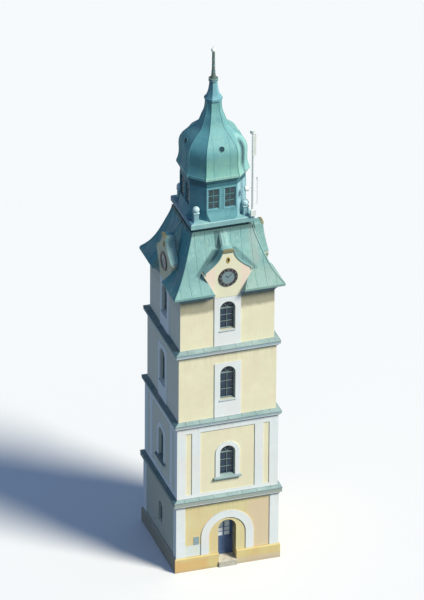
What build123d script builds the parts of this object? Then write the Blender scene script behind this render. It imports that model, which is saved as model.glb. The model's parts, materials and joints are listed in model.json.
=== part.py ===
from build123d import *
from math import sqrt
import os

# Fire lookout tower: four rendered masonry storeys, a concave copper skirt roof cut by four ogee clock
# gables, an octagonal look-out lantern under a bell dome, and a spire. Millimetres, +Z up, the origin at
# the middle of the foot, the doorway in the -Y face.

# Heights
plinth_top = 800
floor_level = 300
lower_string_foot = 3750
lower_string_top = 4200
middle_string_foot = 8280
middle_string_top = 8630
upper_string_foot = 12300
upper_string_top = 12670
wall_head = 15450
eaves_level = 15800
gallery_underside = 18800
gallery_level = 19300

# Half widths of the square shaft, to the wall face
plinth_half = 2800
plinth_bevel = 50
ground_half = 2680
first_half = 2630
second_half = 2570
third_half = 2470

# Wall thicknesses
ground_wall = 850
first_wall = 750
second_wall = 700
third_wall = 620

seat = 0.3

# Doorway, recessed under a round arch
door_half = 475
door_springing = 2155
door_recess = 560
frame_width = 60
frame_stop = 11
stop_lip = 30
leaf_gap = 10
leaf_thickness = 60
leaf_stop_gap = 5
leaf_proud = 6
stile_width = 90
mid_stile_width = 70
bottom_rail_height = 200
lock_rail_foot = 1250
lock_rail_head = 1380
panel_sink = 18
door_glass_thickness = 8
frame_depth = frame_stop + leaf_stop_gap + leaf_thickness - leaf_proud
inner_head = 2760
step_reach = 90

# Hinges of the door: pintles on the frame, straps with eyes on the leaf
hinge_offset_x = 25
hinge_offset_y = 24
pintle_radius = 10
eye_clearance = 0.3
eye_radius = 17
eye_height = 60
strap_height = 45
strap_thickness = 6
strap_reach = 110
strap_root = 18
shelf_height = 18
hinge_heights = [520, 1280, 2000]
handle_height = 1330
handle_radius = 9
handle_leg_radius = 7
handle_grip = 70
handle_overshoot = 22
handle_standoff = 40

# Blind arch band round the doorway
band_outer = 1390
band_inner = 980
band_springing = 1800
band_proud = 45

# White corner pilasters of the ground storey
pilaster_width = 440
pilaster_proud = 40

# White panel frame of the first storey
outer_pilaster_width = 420
inner_pilaster_from = 1440
inner_pilaster_to = 1880
frame_band_foot = 190
frame_band_head = 320
panel_proud = 40

# String courses
string_proud = 170
string_slope = 110
string_bed = 90
flashing_thickness = 10
flashing_drop = 15
flashing_overhang = 12
floor_thickness = 300

# Windows: half width, sill level, springing level of the round head
window_half = 405
first_sill = 5200
first_springing = 6545
second_sill = 9620
second_springing = 11105
third_sill = 13560
third_springing = 14765
ground_window_half = 300
ground_window_sill = 1500
ground_window_springing = 2350
window_recess = 110
sash_depth = 70
sash_width = 65
glass_thickness = 12
glass_lap = 12
surround_proud = 45
surround_margin = 290
arched_margin = 230
second_surround_head = 11720
sill_half = 720
sill_height = 90
sill_nose = 45
sill_reach = 110
sill_lip = 8
sill_rise = 60
plain_sill_height = 60
plain_sill_nose = 30
plain_sill_reach = 45
plain_sill_margin = 40

# Eaves
eaves_half = 2900
eaves_edge = 110
cornice_start = 40
cornice_reach = 330
cornice_steps = 3
cornice_cove = 60
cornice_band = 35

# Skirt roof, a bell-cast curve from the eaves to the gallery
roof_curve = [(2500, 16400), (2100, 17200), (1810, 18000), (1600, 18700)]
roof_shell = 90
cheek_thickness = 40

# Clock gables
gable_waist = 690
gable_waist_height = 170
gable_shoulder = 1310
gable_shoulder_rise = 1410
scroll_width = 90
scroll_rise = 50
gable_neck = 280
gable_neck_rise = 1120
gable_cap_rise = 110
gable_proud = 60
gable_depth = 420
gable_saddle_depth = 420
saddle_foot = 250
saddle_run = 520
saddle_rise = 640
coping_thickness = 40
coping_overhang = 35
clock_rise = 1120
clock_radius = 500
clock_ring_width = 150
clock_ring_proud = 60
clock_ring_bevel = 18
dial_proud = 24
hand_thickness = 8
hand_boss_radius = 30
hour_angle = 305
hour_hand_length = 200
hour_hand_width = 34
minute_angle = 50
minute_hand_length = 290
minute_hand_width = 24
oculus_rise = 670
oculus_radius_x = 80
oculus_radius_z = 140
oculus_depth = 80
gable_shoulder_height = wall_head + gable_shoulder_rise
gable_top = gable_shoulder_height + gable_neck_rise
clock_height = wall_head + clock_rise
oculus_height = gable_shoulder_height + oculus_rise

# Gallery and its corner posts
gallery_half = 1660
gallery_neck_half = 1420
gallery_slab_foot = 19020
gallery_bevel = 40
post_place = 1290
post_half = 150
post_shaft_half = 120
post_base_height = 70
post_cap_height = 50
post_height = 500
ball_radius = 175
ball_sink = 26

# Look-out lantern, a square with cut corners
lantern_half = 1460
lantern_face = 790
lantern_sill = 19850
lantern_head = 21150
lantern_wall = 120
base_flare = 1620
lantern_window_inner = 130
lantern_window_outer = 730
lantern_window_foot = 19900
lantern_window_head = 21040
lantern_glass = 10
lantern_sash = 45
lantern_cornice_top = 21600
lantern_cornice_band = 130
lantern_cornice_cove = 90

# Bell dome over the lantern
dome_eave = 1620
dome_eave_level = 21720
dome_eave_edge = 120
dome_shell = 80
dome_bearing = 1500
dome_bell = [(1510, 22200), (1480, 23030), (1265, 23420), (945, 23720), (670, 24030), (520, 24450)]
dome_neck = 360
dome_top = 25350
dome_corner = lantern_face / lantern_half
vent_height = 23200
vent_radius = 110
vent_depth = 60

# Spire
collar_half = 430
collar_height = 110
cone_foot = 410
cone_head = 180
cone_height = 1000
upper_collar_half = 230
upper_collar_height = 160
needle_foot = 140
needle_head = 70
needle_length = 1430
finial_radius = 125
tip_radius = 28
tip_length = 195

# Aerial mast, standing on the gallery's front right corner
mast_place = 1560
mast_radius = 45
mast_top = 23950
mast_plate_half = 90
mast_plate_thickness = 12
arm_radius = 20
panel_head = 23900
panel_height = 1170
panel_width = 130
panel_thickness = 60
panel_reach = 110
panel_arm_inset = 150
head_radius = 140
head_height = 160
drum_height = 20870
drum_reach = 230
drum_radius = 130
drum_length = 160
whip_offset = 250
whip_radius = 14
whip_foot = 19900
whip_top = 21300
whip_arm_heights = [19960, 20700]
whip_unit_radius = 40
whip_unit_height = 150
cabinet_half = 130
cabinet_depth = 150
cabinet_reach = 60
cabinet_foot = 19360
cabinet_height = 320

long_cut = 8000


def block(x0, x1, y0, y1, z0, z1):
    return Pos((x0 + x1) / 2, (y0 + y1) / 2, (z0 + z1) / 2) * Box(x1 - x0, y1 - y0, z1 - z0)


def quarter_turns(shape, quarters=(0, 1, 2, 3)):
    """The front shape repeated on the chosen sides: 0 front, 1 right, 2 back, 3 left."""
    return [Rot(0, 0, 90 * quarter) * shape for quarter in quarters]


def square_block(half, z0, z1):
    return block(-half, half, -half, half, z0, z1)


def octagon_block(half, corner_distance, z0, z1):
    """A square of this half width with its corners cut at corner_distance from the axis."""
    return square_block(half, z0, z1) & (Rot(0, 0, 45) * square_block(corner_distance, z0, z1))


def mirrored_face(edges):
    """A closed face from the right-hand outline, drawn from foot to top in half width and height."""
    left = [edge.mirror(Plane.YZ) for edge in edges]
    foot = Line(left[0] @ 0, edges[0] @ 0)
    closing = [foot]
    if (edges[-1] @ 1).X > 1:
        closing.append(Line(edges[-1] @ 1, left[-1] @ 1))
    return make_face([*edges, *left, *closing])


def upright_prism(face, depth):
    """The face stood in the XZ plane and carried depth to both sides."""
    return extrude(Plane.XZ * face, amount=depth, both=True)


def square_turning(edges):
    """A square-plan solid with mitred hips whose half width follows the outline."""
    prism = upright_prism(mirrored_face(edges), long_cut)
    return prism & (Rot(0, 0, 90) * prism)


def octagon_turning(edges, corner_edges):
    """An octagonal solid: edges shape the four main faces and corner_edges the four cut corners."""
    main = square_turning(edges)
    return main & (Rot(0, 0, 45) * square_turning(corner_edges))


def bell_edges(offset, scale):
    """Outline of the dome from its eave to its neck, drawn in by offset and scaled for the corners."""
    bell = [(dome_eave, dome_eave_level), *dome_bell, (dome_neck, dome_top)]
    points = [((half - offset) * scale, height) for half, height in bell]
    foot = (points[0][0], dome_eave_level - dome_eave_edge)
    return [Line(foot, points[0]), Spline(*points, tangents=[(-0.4, 1), (0, 1)])]


def roof_edges(offset):
    """Outline of the skirt roof from its eaves to the gallery, drawn in by offset."""
    foot = (eaves_half - offset, eaves_level + eaves_edge)
    points = [foot, *[(half - offset, height) for half, height in roof_curve[:-1]]]
    points.append((roof_curve[-1][0] - offset, roof_curve[-1][1] - offset))
    head = (points[-1][0], gallery_underside - offset)
    return [
        Line((foot[0], eaves_level), foot),
        Spline(*points, tangents=[(-1, 1), (-0.2, 1)]),
        Line(points[-1], head),
    ]


def arched_face(half, foot, springing):
    """A rectangle under a half-round head."""
    return make_face([
        Polyline((-half, springing), (-half, foot), (half, foot), (half, springing)),
        ThreePointArc((half, springing), (0, springing + half), (-half, springing)),
    ])


def arched_cut(half, foot, springing, y0, y1):
    """The arched face as a prism from y0 back to y1, in the front wall."""
    prism = extrude(Plane.XZ * arched_face(half, foot, springing), amount=y1 - y0)
    return Pos(0, y1, 0) * prism


def write(name, *solids):
    parts[name] = Compound(children=list(solids)) if len(solids) > 1 else solids[0]


parts = {}

# Plinth, a thicker foot of the walls with a bevelled top and a gap for the doorway
room_half = ground_half - ground_wall
plinth = square_turning([
    Line((plinth_half, 0), (plinth_half, plinth_top - plinth_bevel)),
    Line((plinth_half, plinth_top - plinth_bevel), (plinth_half - plinth_bevel, plinth_top)),
])
plinth -= square_block(room_half, 0, plinth_top)
plinth -= block(-door_half, door_half, -plinth_half, -room_half, 0, plinth_top)
write("plinth", plinth)
write("door_step", block(-door_half, door_half, -plinth_half - step_reach, -room_half, 0, floor_level))
write("ground_floor", square_block(room_half, 0, floor_level))

# Ground storey walls, split beside and over the doorway
front_face = -ground_half
frame_face = front_face + door_recess
frame_back = frame_face + frame_depth
beside = block(door_half, ground_half, front_face, -room_half, plinth_top, lower_string_foot)
write("ground_front_wall_right", beside)
write("ground_front_wall_left", beside.mirror(Plane.YZ))
over_door = block(-door_half, door_half, front_face, -room_half, door_springing, lower_string_foot)
over_door -= arched_cut(door_half, plinth_top, door_springing, front_face, frame_back)
over_door -= block(-door_half, door_half, frame_back, -room_half, door_springing, inner_head)
write("ground_wall_over_door", over_door)


def plain_wall(half, thickness, foot, head, openings):
    """A front wall over the whole width, with its arched openings cut through."""
    wall = block(-half, half, -half, thickness - half, foot, head)
    for opening_half, sill, springing in openings:
        wall -= arched_cut(opening_half, sill, springing, -half, thickness - half)
    return wall


def side_wall(half, thickness, foot, head, openings):
    """The same wall between the front and the back one, turned to the right-hand side."""
    wall = plain_wall(half, thickness, foot, head, openings)
    wall &= block(thickness - half, half - thickness, -half, thickness - half, foot, head)
    return Rot(0, 0, 90) * wall


ground_opening = [(ground_window_half, ground_window_sill, ground_window_springing)]
ground_side = side_wall(ground_half, ground_wall, plinth_top, lower_string_foot, ground_opening)
ground_back = plain_wall(ground_half, ground_wall, plinth_top, lower_string_foot, ground_opening)
write("ground_right_wall", ground_side)
write("ground_left_wall", Rot(0, 0, 180) * ground_side)
write("ground_back_wall", Rot(0, 0, 180) * ground_back)

# Door frame with a stop on its outer edge
frame_half = door_half - frame_width
frame = arched_cut(door_half, floor_level, door_springing, frame_face, frame_back)
frame -= arched_cut(frame_half, floor_level, door_springing, frame_face + frame_stop, frame_back)
frame -= arched_cut(frame_half - stop_lip, floor_level, door_springing, frame_face, frame_back)

# Door leaf, hung on the left and opening inwards: two sunk panels below the lock rail, two lights above
leaf_half = frame_half - leaf_gap
leaf_foot = floor_level + leaf_gap
leaf_front = frame_face + frame_stop + leaf_stop_gap
leaf_back = leaf_front + leaf_thickness
panel_half = leaf_half - stile_width
leaf = arched_cut(leaf_half, leaf_foot, door_springing, leaf_front, leaf_back)
mid_stile = block(-mid_stile_width / 2, mid_stile_width / 2, leaf_front, leaf_back, leaf_foot, inner_head)
leaf -= arched_cut(panel_half, lock_rail_head, door_springing, leaf_front, leaf_back) - mid_stile
for face in (leaf_front, leaf_back - panel_sink):
    panel_foot = leaf_foot + bottom_rail_height
    leaf -= block(-panel_half, panel_half, face, face + panel_sink, panel_foot, lock_rail_foot) - mid_stile
glass_front = (leaf_front + leaf_back - door_glass_thickness) / 2
door_lights = arched_cut(
    panel_half, lock_rail_head, door_springing, glass_front, glass_front + door_glass_thickness
)
door_lights -= mid_stile
hinge_x = -frame_half - hinge_offset_x
hinge_y = frame_back + hinge_offset_y
write("entrance_door", leaf)
write("door_glass", *door_lights.solids())

# Ironwork: a pintle on the frame and a strap with an eye on the leaf at each hinge
straps = []
for height in hinge_heights:
    shelf_foot = height - shelf_height
    shelf = block(hinge_x - eye_radius, hinge_x + eye_radius, frame_back, hinge_y, shelf_foot, height)
    shelf += Pos(hinge_x, hinge_y, height - shelf_height / 2) * Cylinder(eye_radius, shelf_height)
    pin = Pos(hinge_x, hinge_y, height + eye_height / 2) * Cylinder(pintle_radius, eye_height)
    frame += shelf + pin
    eye_foot = height + seat
    eye = Pos(hinge_x, hinge_y, eye_foot + eye_height / 2) * Cylinder(eye_radius, eye_height)
    strap_foot = eye_foot + (eye_height - strap_height) / 2
    strap_head = strap_foot + strap_height
    strap_back = leaf_back + strap_thickness
    strap_knuckle = hinge_x + eye_radius + strap_root
    strap = block(hinge_x, hinge_x + strap_reach, leaf_back, strap_back, strap_foot, strap_head)
    strap += block(hinge_x, strap_knuckle, leaf_back, hinge_y, strap_foot, strap_head)
    eye += strap
    eye -= Pos(hinge_x, hinge_y, height + eye_height / 2) * Cylinder(
        pintle_radius + eye_clearance, eye_height + shelf_height
    )
    straps.append(eye)
write("door_frame", frame)
handle_x = leaf_half - stile_width / 2
handles = []
for side, face in ((-1, leaf_front), (1, leaf_back)):
    grip_y = face + side * handle_standoff
    grip = Cylinder(handle_radius, 2 * (handle_grip + handle_overshoot))
    grip = Pos(handle_x, grip_y, handle_height) * grip
    for end in (-handle_grip, handle_grip):
        leg_y = face + side * handle_standoff / 2
        leg = Cylinder(handle_leg_radius, handle_standoff)
        grip += Pos(handle_x, leg_y, handle_height + end) * Rot(90, 0, 0) * leg
    handles.append(grip)
write("door_ironwork", *straps, *handles)

# White band of the blind arch, standing on the plinth
band_face = arched_face(band_outer, plinth_top, band_springing)
band_face -= arched_face(band_inner, plinth_top, band_springing)
write("door_arch_band", Pos(0, front_face, 0) * extrude(Plane.XZ * band_face, amount=band_proud))


def corner_skin(half, width, proud, foot, head):
    """Skins that wrap the four corners of a storey."""
    skin = square_block(half + proud, foot, head) - square_block(half, foot, head)
    gap = half - width
    skin -= block(-gap, gap, -long_cut, long_cut, foot, head)
    skin -= block(-long_cut, long_cut, -gap, gap, foot, head)
    return skin


corner_skins = corner_skin(ground_half, pilaster_width, pilaster_proud, plinth_top, lower_string_foot)
write("ground_corner_pilasters", *corner_skins.solids())


def string_ring(inner, below, above, foot, top):
    """A masonry string course: a soffit, a cove, a projecting band and a weathered slope."""
    reach = below + string_proud
    shoulder = top - string_slope
    cove_start = (reach - string_bed, foot)
    edges = [
        Line((below, foot), cove_start),
        JernArc(cove_start, (0, 1), string_bed, -90),
        Line((reach, foot + string_bed), (reach, shoulder)),
        Line((reach, shoulder), (above, top)),
    ]
    return square_turning(edges) - square_block(inner, foot, top)


def flashing_ring(below, above, top):
    """Copper laid over the slope of a string course and turned down at its edge."""
    reach = below + string_proud
    shoulder = top - string_slope
    lip = reach + flashing_overhang
    outer = square_turning([
        Line((lip, shoulder - flashing_drop), (lip, shoulder + flashing_thickness)),
        Line((lip, shoulder + flashing_thickness), (above, top + flashing_thickness)),
    ])
    inner = square_turning([
        Line((reach + seat, shoulder - flashing_drop), (reach + seat, shoulder + seat)),
        Line((reach + seat, shoulder + seat), (above, top + seat)),
    ])
    return outer - inner - square_block(above, top - string_slope, top + 2 * string_slope)


strings = [
    ("lower", room_half, ground_half, first_half, lower_string_foot, lower_string_top),
    ("middle", first_half - first_wall, first_half, second_half, middle_string_foot, middle_string_top),
    ("upper", second_half - second_wall, second_half, third_half, upper_string_foot, upper_string_top),
]
flashings = []
floors = []
for name, inner, below, above, foot, top in strings:
    write(name + "_string_course", string_ring(inner, below, above, foot, top))
    flashings.append(flashing_ring(below, above, top))
    floors.append(square_block(inner, top - floor_thickness, top))
write("string_flashings", *flashings)
write("upper_floors", *floors)

# Upper storeys: four walls each, with one arched window in every wall
storeys = [
    ("first", first_half, first_wall, lower_string_top, middle_string_foot, first_sill, first_springing),
    ("second", second_half, second_wall, middle_string_top, upper_string_foot, second_sill, second_springing),
    ("third", third_half, third_wall, upper_string_top, wall_head, third_sill, third_springing),
]
frames = []
panes = []


def window_frame(face, half, sill, springing):
    """An arched sash frame with a transom at the springing, and its pane, in the front wall."""
    y0 = -face + window_recess
    y1 = y0 + sash_depth
    light_half = half - sash_width
    light_foot = sill + sash_width
    ring = arched_cut(half, sill, springing, y0, y1)
    inside = arched_cut(light_half, light_foot, springing, y0, y1)
    bar = block(-light_half, light_half, y0, y1, springing - sash_width, springing)
    pane = arched_cut(light_half + glass_lap, light_foot - glass_lap, springing, y1, y1 + glass_thickness)
    return ring - inside + bar, pane


for name, half, thickness, foot, head, sill, springing in storeys:
    opening = [(window_half, sill, springing)]
    front = plain_wall(half, thickness, foot, head, opening)
    right = side_wall(half, thickness, foot, head, opening)
    write(name + "_storey_front_wall", front)
    write(name + "_storey_right_wall", right)
    write(name + "_storey_back_wall", Rot(0, 0, 180) * front)
    write(name + "_storey_left_wall", Rot(0, 0, 180) * right)
    sash, pane = window_frame(half, window_half, sill, springing)
    frames += quarter_turns(sash)
    panes += quarter_turns(pane)

ground_sash, ground_pane = window_frame(ground_half, *ground_opening[0])
frames += quarter_turns(ground_sash, (1, 2, 3))
panes += quarter_turns(ground_pane, (1, 2, 3))

# White panel frame of the first storey: corner and inner pilasters between two bands
panel_foot = lower_string_top + flashing_thickness + seat
frame_low = lower_string_top + frame_band_foot
frame_high = middle_string_foot - frame_band_head
panel_skin = square_block(first_half + panel_proud, panel_foot, middle_string_foot)
panel_skin -= square_block(first_half, panel_foot, middle_string_foot)
for turn in (0, 90):
    gap_low = first_half - outer_pilaster_width
    field = block(-inner_pilaster_from, inner_pilaster_from, -long_cut, long_cut, frame_low, frame_high)
    panel_skin -= Rot(0, 0, turn) * field
    for side in (-1, 1):
        x0, x1 = sorted((side * inner_pilaster_to, side * gap_low))
        slot = block(x0, x1, -long_cut, long_cut, frame_low, frame_high)
        panel_skin -= Rot(0, 0, turn) * slot
write("first_storey_panel_frame", panel_skin)


def border(face, outline, sill, springing):
    """A flat white border round a window, from its outline."""
    prism = extrude(Plane.XZ * (outline - arched_face(window_half, sill, springing)), amount=surround_proud)
    return Pos(0, -face, 0) * prism


def straight_border(face, foot, head, sill, springing):
    """The border with a level head, standing on the string course."""
    outline = Pos(0, (foot + head) / 2) * Rectangle(2 * (window_half + surround_margin), head - foot)
    return border(face, outline, sill, springing)


def copper_sill(face, sill):
    """A copper sill that slopes from the sash, out through the opening and over the border's foot."""
    front = -face - surround_proud - seat
    nose = front - sill_reach
    back = -face + window_recess - seat
    foot = sill - sill_height
    edge = sill - sill_nose
    lip = sill + sill_lip
    outer = make_face(Polyline((nose, foot), (nose, edge), (front, lip), (front, foot), close=True))
    bed = sill + seat
    inner = make_face(Polyline((front, bed), (front, lip), (back, sill + sill_rise), (back, bed), close=True))
    inner_half = window_half - seat
    shelf = Pos(-sill_half, 0, 0) * extrude(Plane.YZ * outer, amount=2 * sill_half)
    return shelf + Pos(-inner_half, 0, 0) * extrude(Plane.YZ * inner, amount=2 * inner_half)


def plain_sill(face, sill):
    """A narrow rendered sill against the border, under the opening."""
    front = -face - surround_proud - seat
    nose = front - plain_sill_reach
    half = window_half + plain_sill_margin
    foot = sill - plain_sill_height
    edge = sill - plain_sill_nose
    profile = make_face(Polyline((nose, foot), (nose, edge), (front, sill), (front, foot), close=True))
    return Pos(-half, 0, 0) * extrude(Plane.YZ * profile, amount=2 * half)


arched_outline = arched_face(window_half + arched_margin, first_sill - sill_height, first_springing)
second_foot = middle_string_top + flashing_thickness + seat
third_foot = upper_string_top + flashing_thickness + seat
surrounds = [
    border(first_half, arched_outline, first_sill, first_springing),
    straight_border(second_half, second_foot, second_surround_head, second_sill, second_springing),
    straight_border(third_half, third_foot, wall_head - seat, third_sill, third_springing),
]
surrounds = [turned for front in surrounds for turned in quarter_turns(front)]
upper_sills = quarter_turns(plain_sill(second_half, second_sill))
upper_sills += quarter_turns(plain_sill(third_half, third_sill))
write("window_surrounds", *surrounds)
write("window_sills", *quarter_turns(copper_sill(first_half, first_sill)))
write("upper_window_sills", *upper_sills)
write("window_frames", *frames)
write("window_glass", *panes)


def gable_outline(grow):
    """Right-hand outline of a clock gable: a waist, a flared shoulder and a hollow neck."""
    waist = (gable_waist + grow, wall_head)
    hip = (gable_waist + grow, wall_head + gable_waist_height)
    shoulder = (gable_shoulder + grow, gable_shoulder_height)
    step = (gable_shoulder - scroll_width + grow, gable_shoulder_height + scroll_rise)
    neck = (gable_neck + grow, gable_top)
    crown = (0, gable_top + gable_cap_rise + grow)
    return [
        Line(waist, hip),
        Spline(hip, shoulder, tangents=[(0.35, 1), (0.55, 1)]),
        Line(shoulder, step),
        Spline(step, neck, tangents=[(-1.2, 1), (-0.25, 1)]),
        Spline(neck, crown, tangents=[(-0.4, 1), (-1, 0)]),
    ]


gable_face = -third_half - gable_proud
gable_back = gable_face + gable_depth


def gable_prism(grow, y0, y1):
    """The gable's outline, grown all round, as a prism from y0 back to y1."""
    prism = extrude(Plane.XZ * mirrored_face(gable_outline(grow)), amount=y1 - y0)
    return Pos(0, y1, 0) * prism


def above(level):
    """All the space over a level, to trim a gable's prism with."""
    return square_block(long_cut, level, dome_top)


# Clock gables of masonry, each standing on the head of its wall
gable = gable_prism(0, gable_face, gable_back)
oculus = extrude(Ellipse(oculus_radius_x, oculus_radius_z), amount=oculus_depth, both=True)
gable -= Pos(0, gable_face, oculus_height) * Rot(90, 0, 0) * oculus
write("clock_gables", *quarter_turns(gable))

# Copper coping along the upper edges of each gable
coping = gable_prism(coping_thickness, gable_face - coping_overhang, gable_back)
coping -= gable_prism(seat, gable_face - coping_overhang, gable_back)
coping_foot = gable_shoulder_height + 2 * coping_thickness
coping &= above(coping_foot)
coping_solid = sorted(coping.solids(), key=lambda solid: solid.volume)[-1]
write("gable_copings", *quarter_turns(coping_solid))

# Clocks: a moulded ring, a glass dial and a pair of fixed hands
ring = Cylinder(clock_radius, clock_ring_proud) - Cylinder(clock_radius - clock_ring_width, clock_ring_proud)
ring = Pos(0, gable_face - clock_ring_proud / 2 - seat, clock_height) * Rot(90, 0, 0) * ring
ring_edges = ring.faces().sort_by(Axis.Y)[0].edges()
ring = chamfer(ring_edges, clock_ring_bevel)
dial = Cylinder(clock_radius - clock_ring_width - seat, dial_proud)
dial = Pos(0, gable_face - dial_proud / 2 - seat, clock_height) * Rot(90, 0, 0) * dial


def clock_hand(angle, length, width):
    """A hand with rounded ends, turned clockwise from twelve."""
    hand = Pos(0, length / 2 - width) * RectangleRounded(width, length, width / 2 - 1)
    return extrude(Rot(0, 0, -angle) * hand, amount=hand_thickness)


hands = clock_hand(hour_angle, hour_hand_length, hour_hand_width)
hands += clock_hand(minute_angle, minute_hand_length, minute_hand_width)
hands += extrude(Circle(hand_boss_radius), amount=hand_thickness)
hands = Pos(0, gable_face - dial_proud - 2 * seat, clock_height) * Rot(90, 0, 0) * hands
write("clock_rings", *quarter_turns(ring))
write("clock_dials", *quarter_turns(dial))
write("clock_hands", *quarter_turns(hands))

# Eaves cornice, stepped out under the roof and stopped against the gables
cornice_edges = []
step_rise = (eaves_level - cornice_band - wall_head) / cornice_steps
level = wall_head
reach = third_half + cornice_start
for course in range(cornice_steps):
    next_reach = third_half + cornice_reach * (course + 1) / cornice_steps
    level += step_rise
    cove_start = (reach, level - cornice_cove)
    cornice_edges.append(Line((reach, level - step_rise), cove_start))
    cornice_edges.append(JernArc(cove_start, (0, 1), cornice_cove, -90))
    cornice_edges.append(Line((reach + cornice_cove, level), (next_reach, level)))
    reach = next_reach
cornice_edges.append(Line((reach, level), (reach, eaves_level)))
gable_room = quarter_turns(gable_prism(seat, -eaves_half, gable_back + seat))
cornice = square_turning(cornice_edges) - square_block(third_half - third_wall, wall_head, eaves_level)
for room in gable_room:
    cornice -= room
write("eaves_cornice", *cornice.solids())

# Skirt roof, a copper shell let round the gables: cheeks close its cut edges beside each gable, and behind
# each neck a saddle runs back and then rises to the gallery
roof_form = square_turning(roof_edges(0))
roof = roof_form - square_turning(roof_edges(roof_shell))
cheek = gable_prism(cheek_thickness, -eaves_half, gable_back) & roof_form
saddle_face = Plane.XZ * mirrored_face(gable_outline(-coping_thickness))
saddle_way = Vector(0, saddle_run, saddle_rise)
saddle_rising = extrude(saddle_face, amount=saddle_way.length, dir=saddle_way.normalized())
saddle = gable_prism(-coping_thickness, gable_back, gable_back + gable_saddle_depth)
saddle += Pos(0, gable_back, 0) * saddle_rising
saddle &= above(gable_shoulder_height + saddle_foot)
saddle -= square_turning(roof_edges(roof_shell / 2))
for turned in quarter_turns(cheek) + quarter_turns(saddle):
    roof += turned
coping_room = gable_prism(coping_thickness + seat, gable_face - coping_overhang, gable_back)
coping_room &= above(coping_foot)
for room in gable_room + quarter_turns(coping_room):
    roof -= room
write("skirt_roof", *roof.solids())

# Gallery: a slab that overhangs a recessed neck on the roof's head
gallery_edges = [
    Line((gallery_neck_half, gallery_underside), (gallery_neck_half, gallery_slab_foot)),
    Line((gallery_neck_half, gallery_slab_foot), (gallery_half, gallery_slab_foot)),
    Line((gallery_half, gallery_slab_foot), (gallery_half, gallery_level - gallery_bevel)),
    Line((gallery_half, gallery_level - gallery_bevel), (gallery_half - gallery_bevel, gallery_level)),
]
write("gallery_floor", square_turning(gallery_edges))

# Corner posts: a base, a shaft, a cap and a ball
posts = []
for x in (-post_place, post_place):
    for y in (-post_place, post_place):
        post_top = gallery_level + post_height
        ball_centre = post_top + ball_radius - ball_sink
        post = square_block(post_half, gallery_level, gallery_level + post_base_height)
        post += square_block(post_shaft_half, gallery_level, post_top)
        post += square_block(post_half, post_top - post_cap_height, post_top)
        post += Pos(0, 0, ball_centre) * Sphere(ball_radius)
        posts.append(Pos(x, y, 0) * post)
write("corner_posts", *posts)

# Lantern: a flared base, eight-sided walls with paired windows, and a cornice that closes it
corner_distance = (lantern_half + lantern_face) / sqrt(2)
inner_half = lantern_half - lantern_wall
inner_corner = corner_distance - lantern_wall
base_foot = (base_flare, gallery_level)
base_edge = Spline(base_foot, (lantern_half, lantern_sill), tangents=[(-0.25, 1), (-0.1, 1)])
base = square_turning([base_edge])
base &= Rot(0, 0, 45) * square_block(corner_distance, gallery_level, lantern_sill)
base -= octagon_block(inner_half, inner_corner, gallery_level, lantern_sill)
write("lantern_base", base)
lantern = octagon_block(lantern_half, corner_distance, lantern_sill, lantern_head)
lantern -= octagon_block(inner_half, inner_corner, lantern_sill, lantern_head)
lantern_frames = []
lantern_panes = []
for side in (-1, 1):
    x0, x1 = sorted((side * lantern_window_inner, side * lantern_window_outer))
    window = block(x0, x1, -lantern_half, -inner_half, lantern_window_foot, lantern_window_head)
    for turned in quarter_turns(window):
        lantern -= turned
    mid = -lantern_half + lantern_wall / 2
    sash_front = mid - lantern_sash / 2
    sash_back = mid + lantern_sash / 2
    light_sides = (x0 + lantern_sash, x1 - lantern_sash)
    light_heights = (lantern_window_foot + lantern_sash, lantern_window_head - lantern_sash)
    sash = block(x0, x1, sash_front, sash_back, lantern_window_foot, lantern_window_head)
    light = block(*light_sides, sash_front, sash_back, *light_heights)
    pane = block(*light_sides, mid - lantern_glass / 2, mid + lantern_glass / 2, *light_heights)
    lantern_frames += quarter_turns(sash - light)
    lantern_panes += quarter_turns(pane)
write("lantern_walls", lantern)
write("lantern_window_frames", *lantern_frames)
write("lantern_glass", *lantern_panes)


def cornice_outline(half):
    """Outline of the lantern's cornice over a wall this far from the axis."""
    band = lantern_cornice_top - lantern_cornice_band
    cove_start = (half, band - lantern_cornice_cove)
    reach = half + lantern_cornice_cove
    return [
        Line((half, lantern_head), cove_start),
        JernArc(cove_start, (0, 1), lantern_cornice_cove, -90),
        Line((reach, band), (reach, lantern_cornice_top)),
    ]


write("lantern_cornice", octagon_turning(cornice_outline(lantern_half), cornice_outline(corner_distance)))

# Bell dome: curved copper panels on eight sides, hollow inside, with a round vent in each main face
corner_scale = (1 + dome_corner) / sqrt(2)
dome = octagon_turning(bell_edges(0, 1), bell_edges(0, corner_scale))
hollow = octagon_turning(bell_edges(dome_shell, 1), bell_edges(dome_shell, corner_scale))
dome_foot = dome_eave_level - dome_eave_edge
hollow &= octagon_block(dome_bearing, dome_bearing * corner_scale, dome_foot, dome_bell[4][1])
dome -= hollow
vent = Pos(0, -dome_bell[1][0], vent_height) * Rot(90, 0, 0) * Cylinder(vent_radius, 2 * vent_depth)
for turned in quarter_turns(vent):
    dome -= turned
write("dome", dome)

# Spire: a collar, a hollow-sided cone, an upper collar, a needle and a ball
cone_top = dome_top + cone_height
cone_start = dome_top + collar_height
cone_edges = [
    Line((collar_half, dome_top), (collar_half, cone_start)),
    Line((collar_half, cone_start), (cone_foot, cone_start)),
    Spline((cone_foot, cone_start), (cone_head, cone_top), tangents=[(-0.9, 1), (-0.1, 1)]),
]
write("spire_cone", octagon_turning(cone_edges, cone_edges))
collar_top = cone_top + upper_collar_height
needle_top = collar_top + needle_length
needle_outline = make_face([
    Line((0, cone_top), (upper_collar_half, cone_top)),
    Line((upper_collar_half, cone_top), (upper_collar_half, collar_top)),
    Line((upper_collar_half, collar_top), (needle_foot, collar_top)),
    Spline((needle_foot, collar_top), (needle_head, needle_top), tangents=[(-0.2, 1), (-0.02, 1)]),
    Line((needle_head, needle_top), (0, needle_top)),
    Line((0, needle_top), (0, cone_top)),
])
write("spire_needle", revolve(Plane.XZ * needle_outline, Axis.Z))
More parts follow.
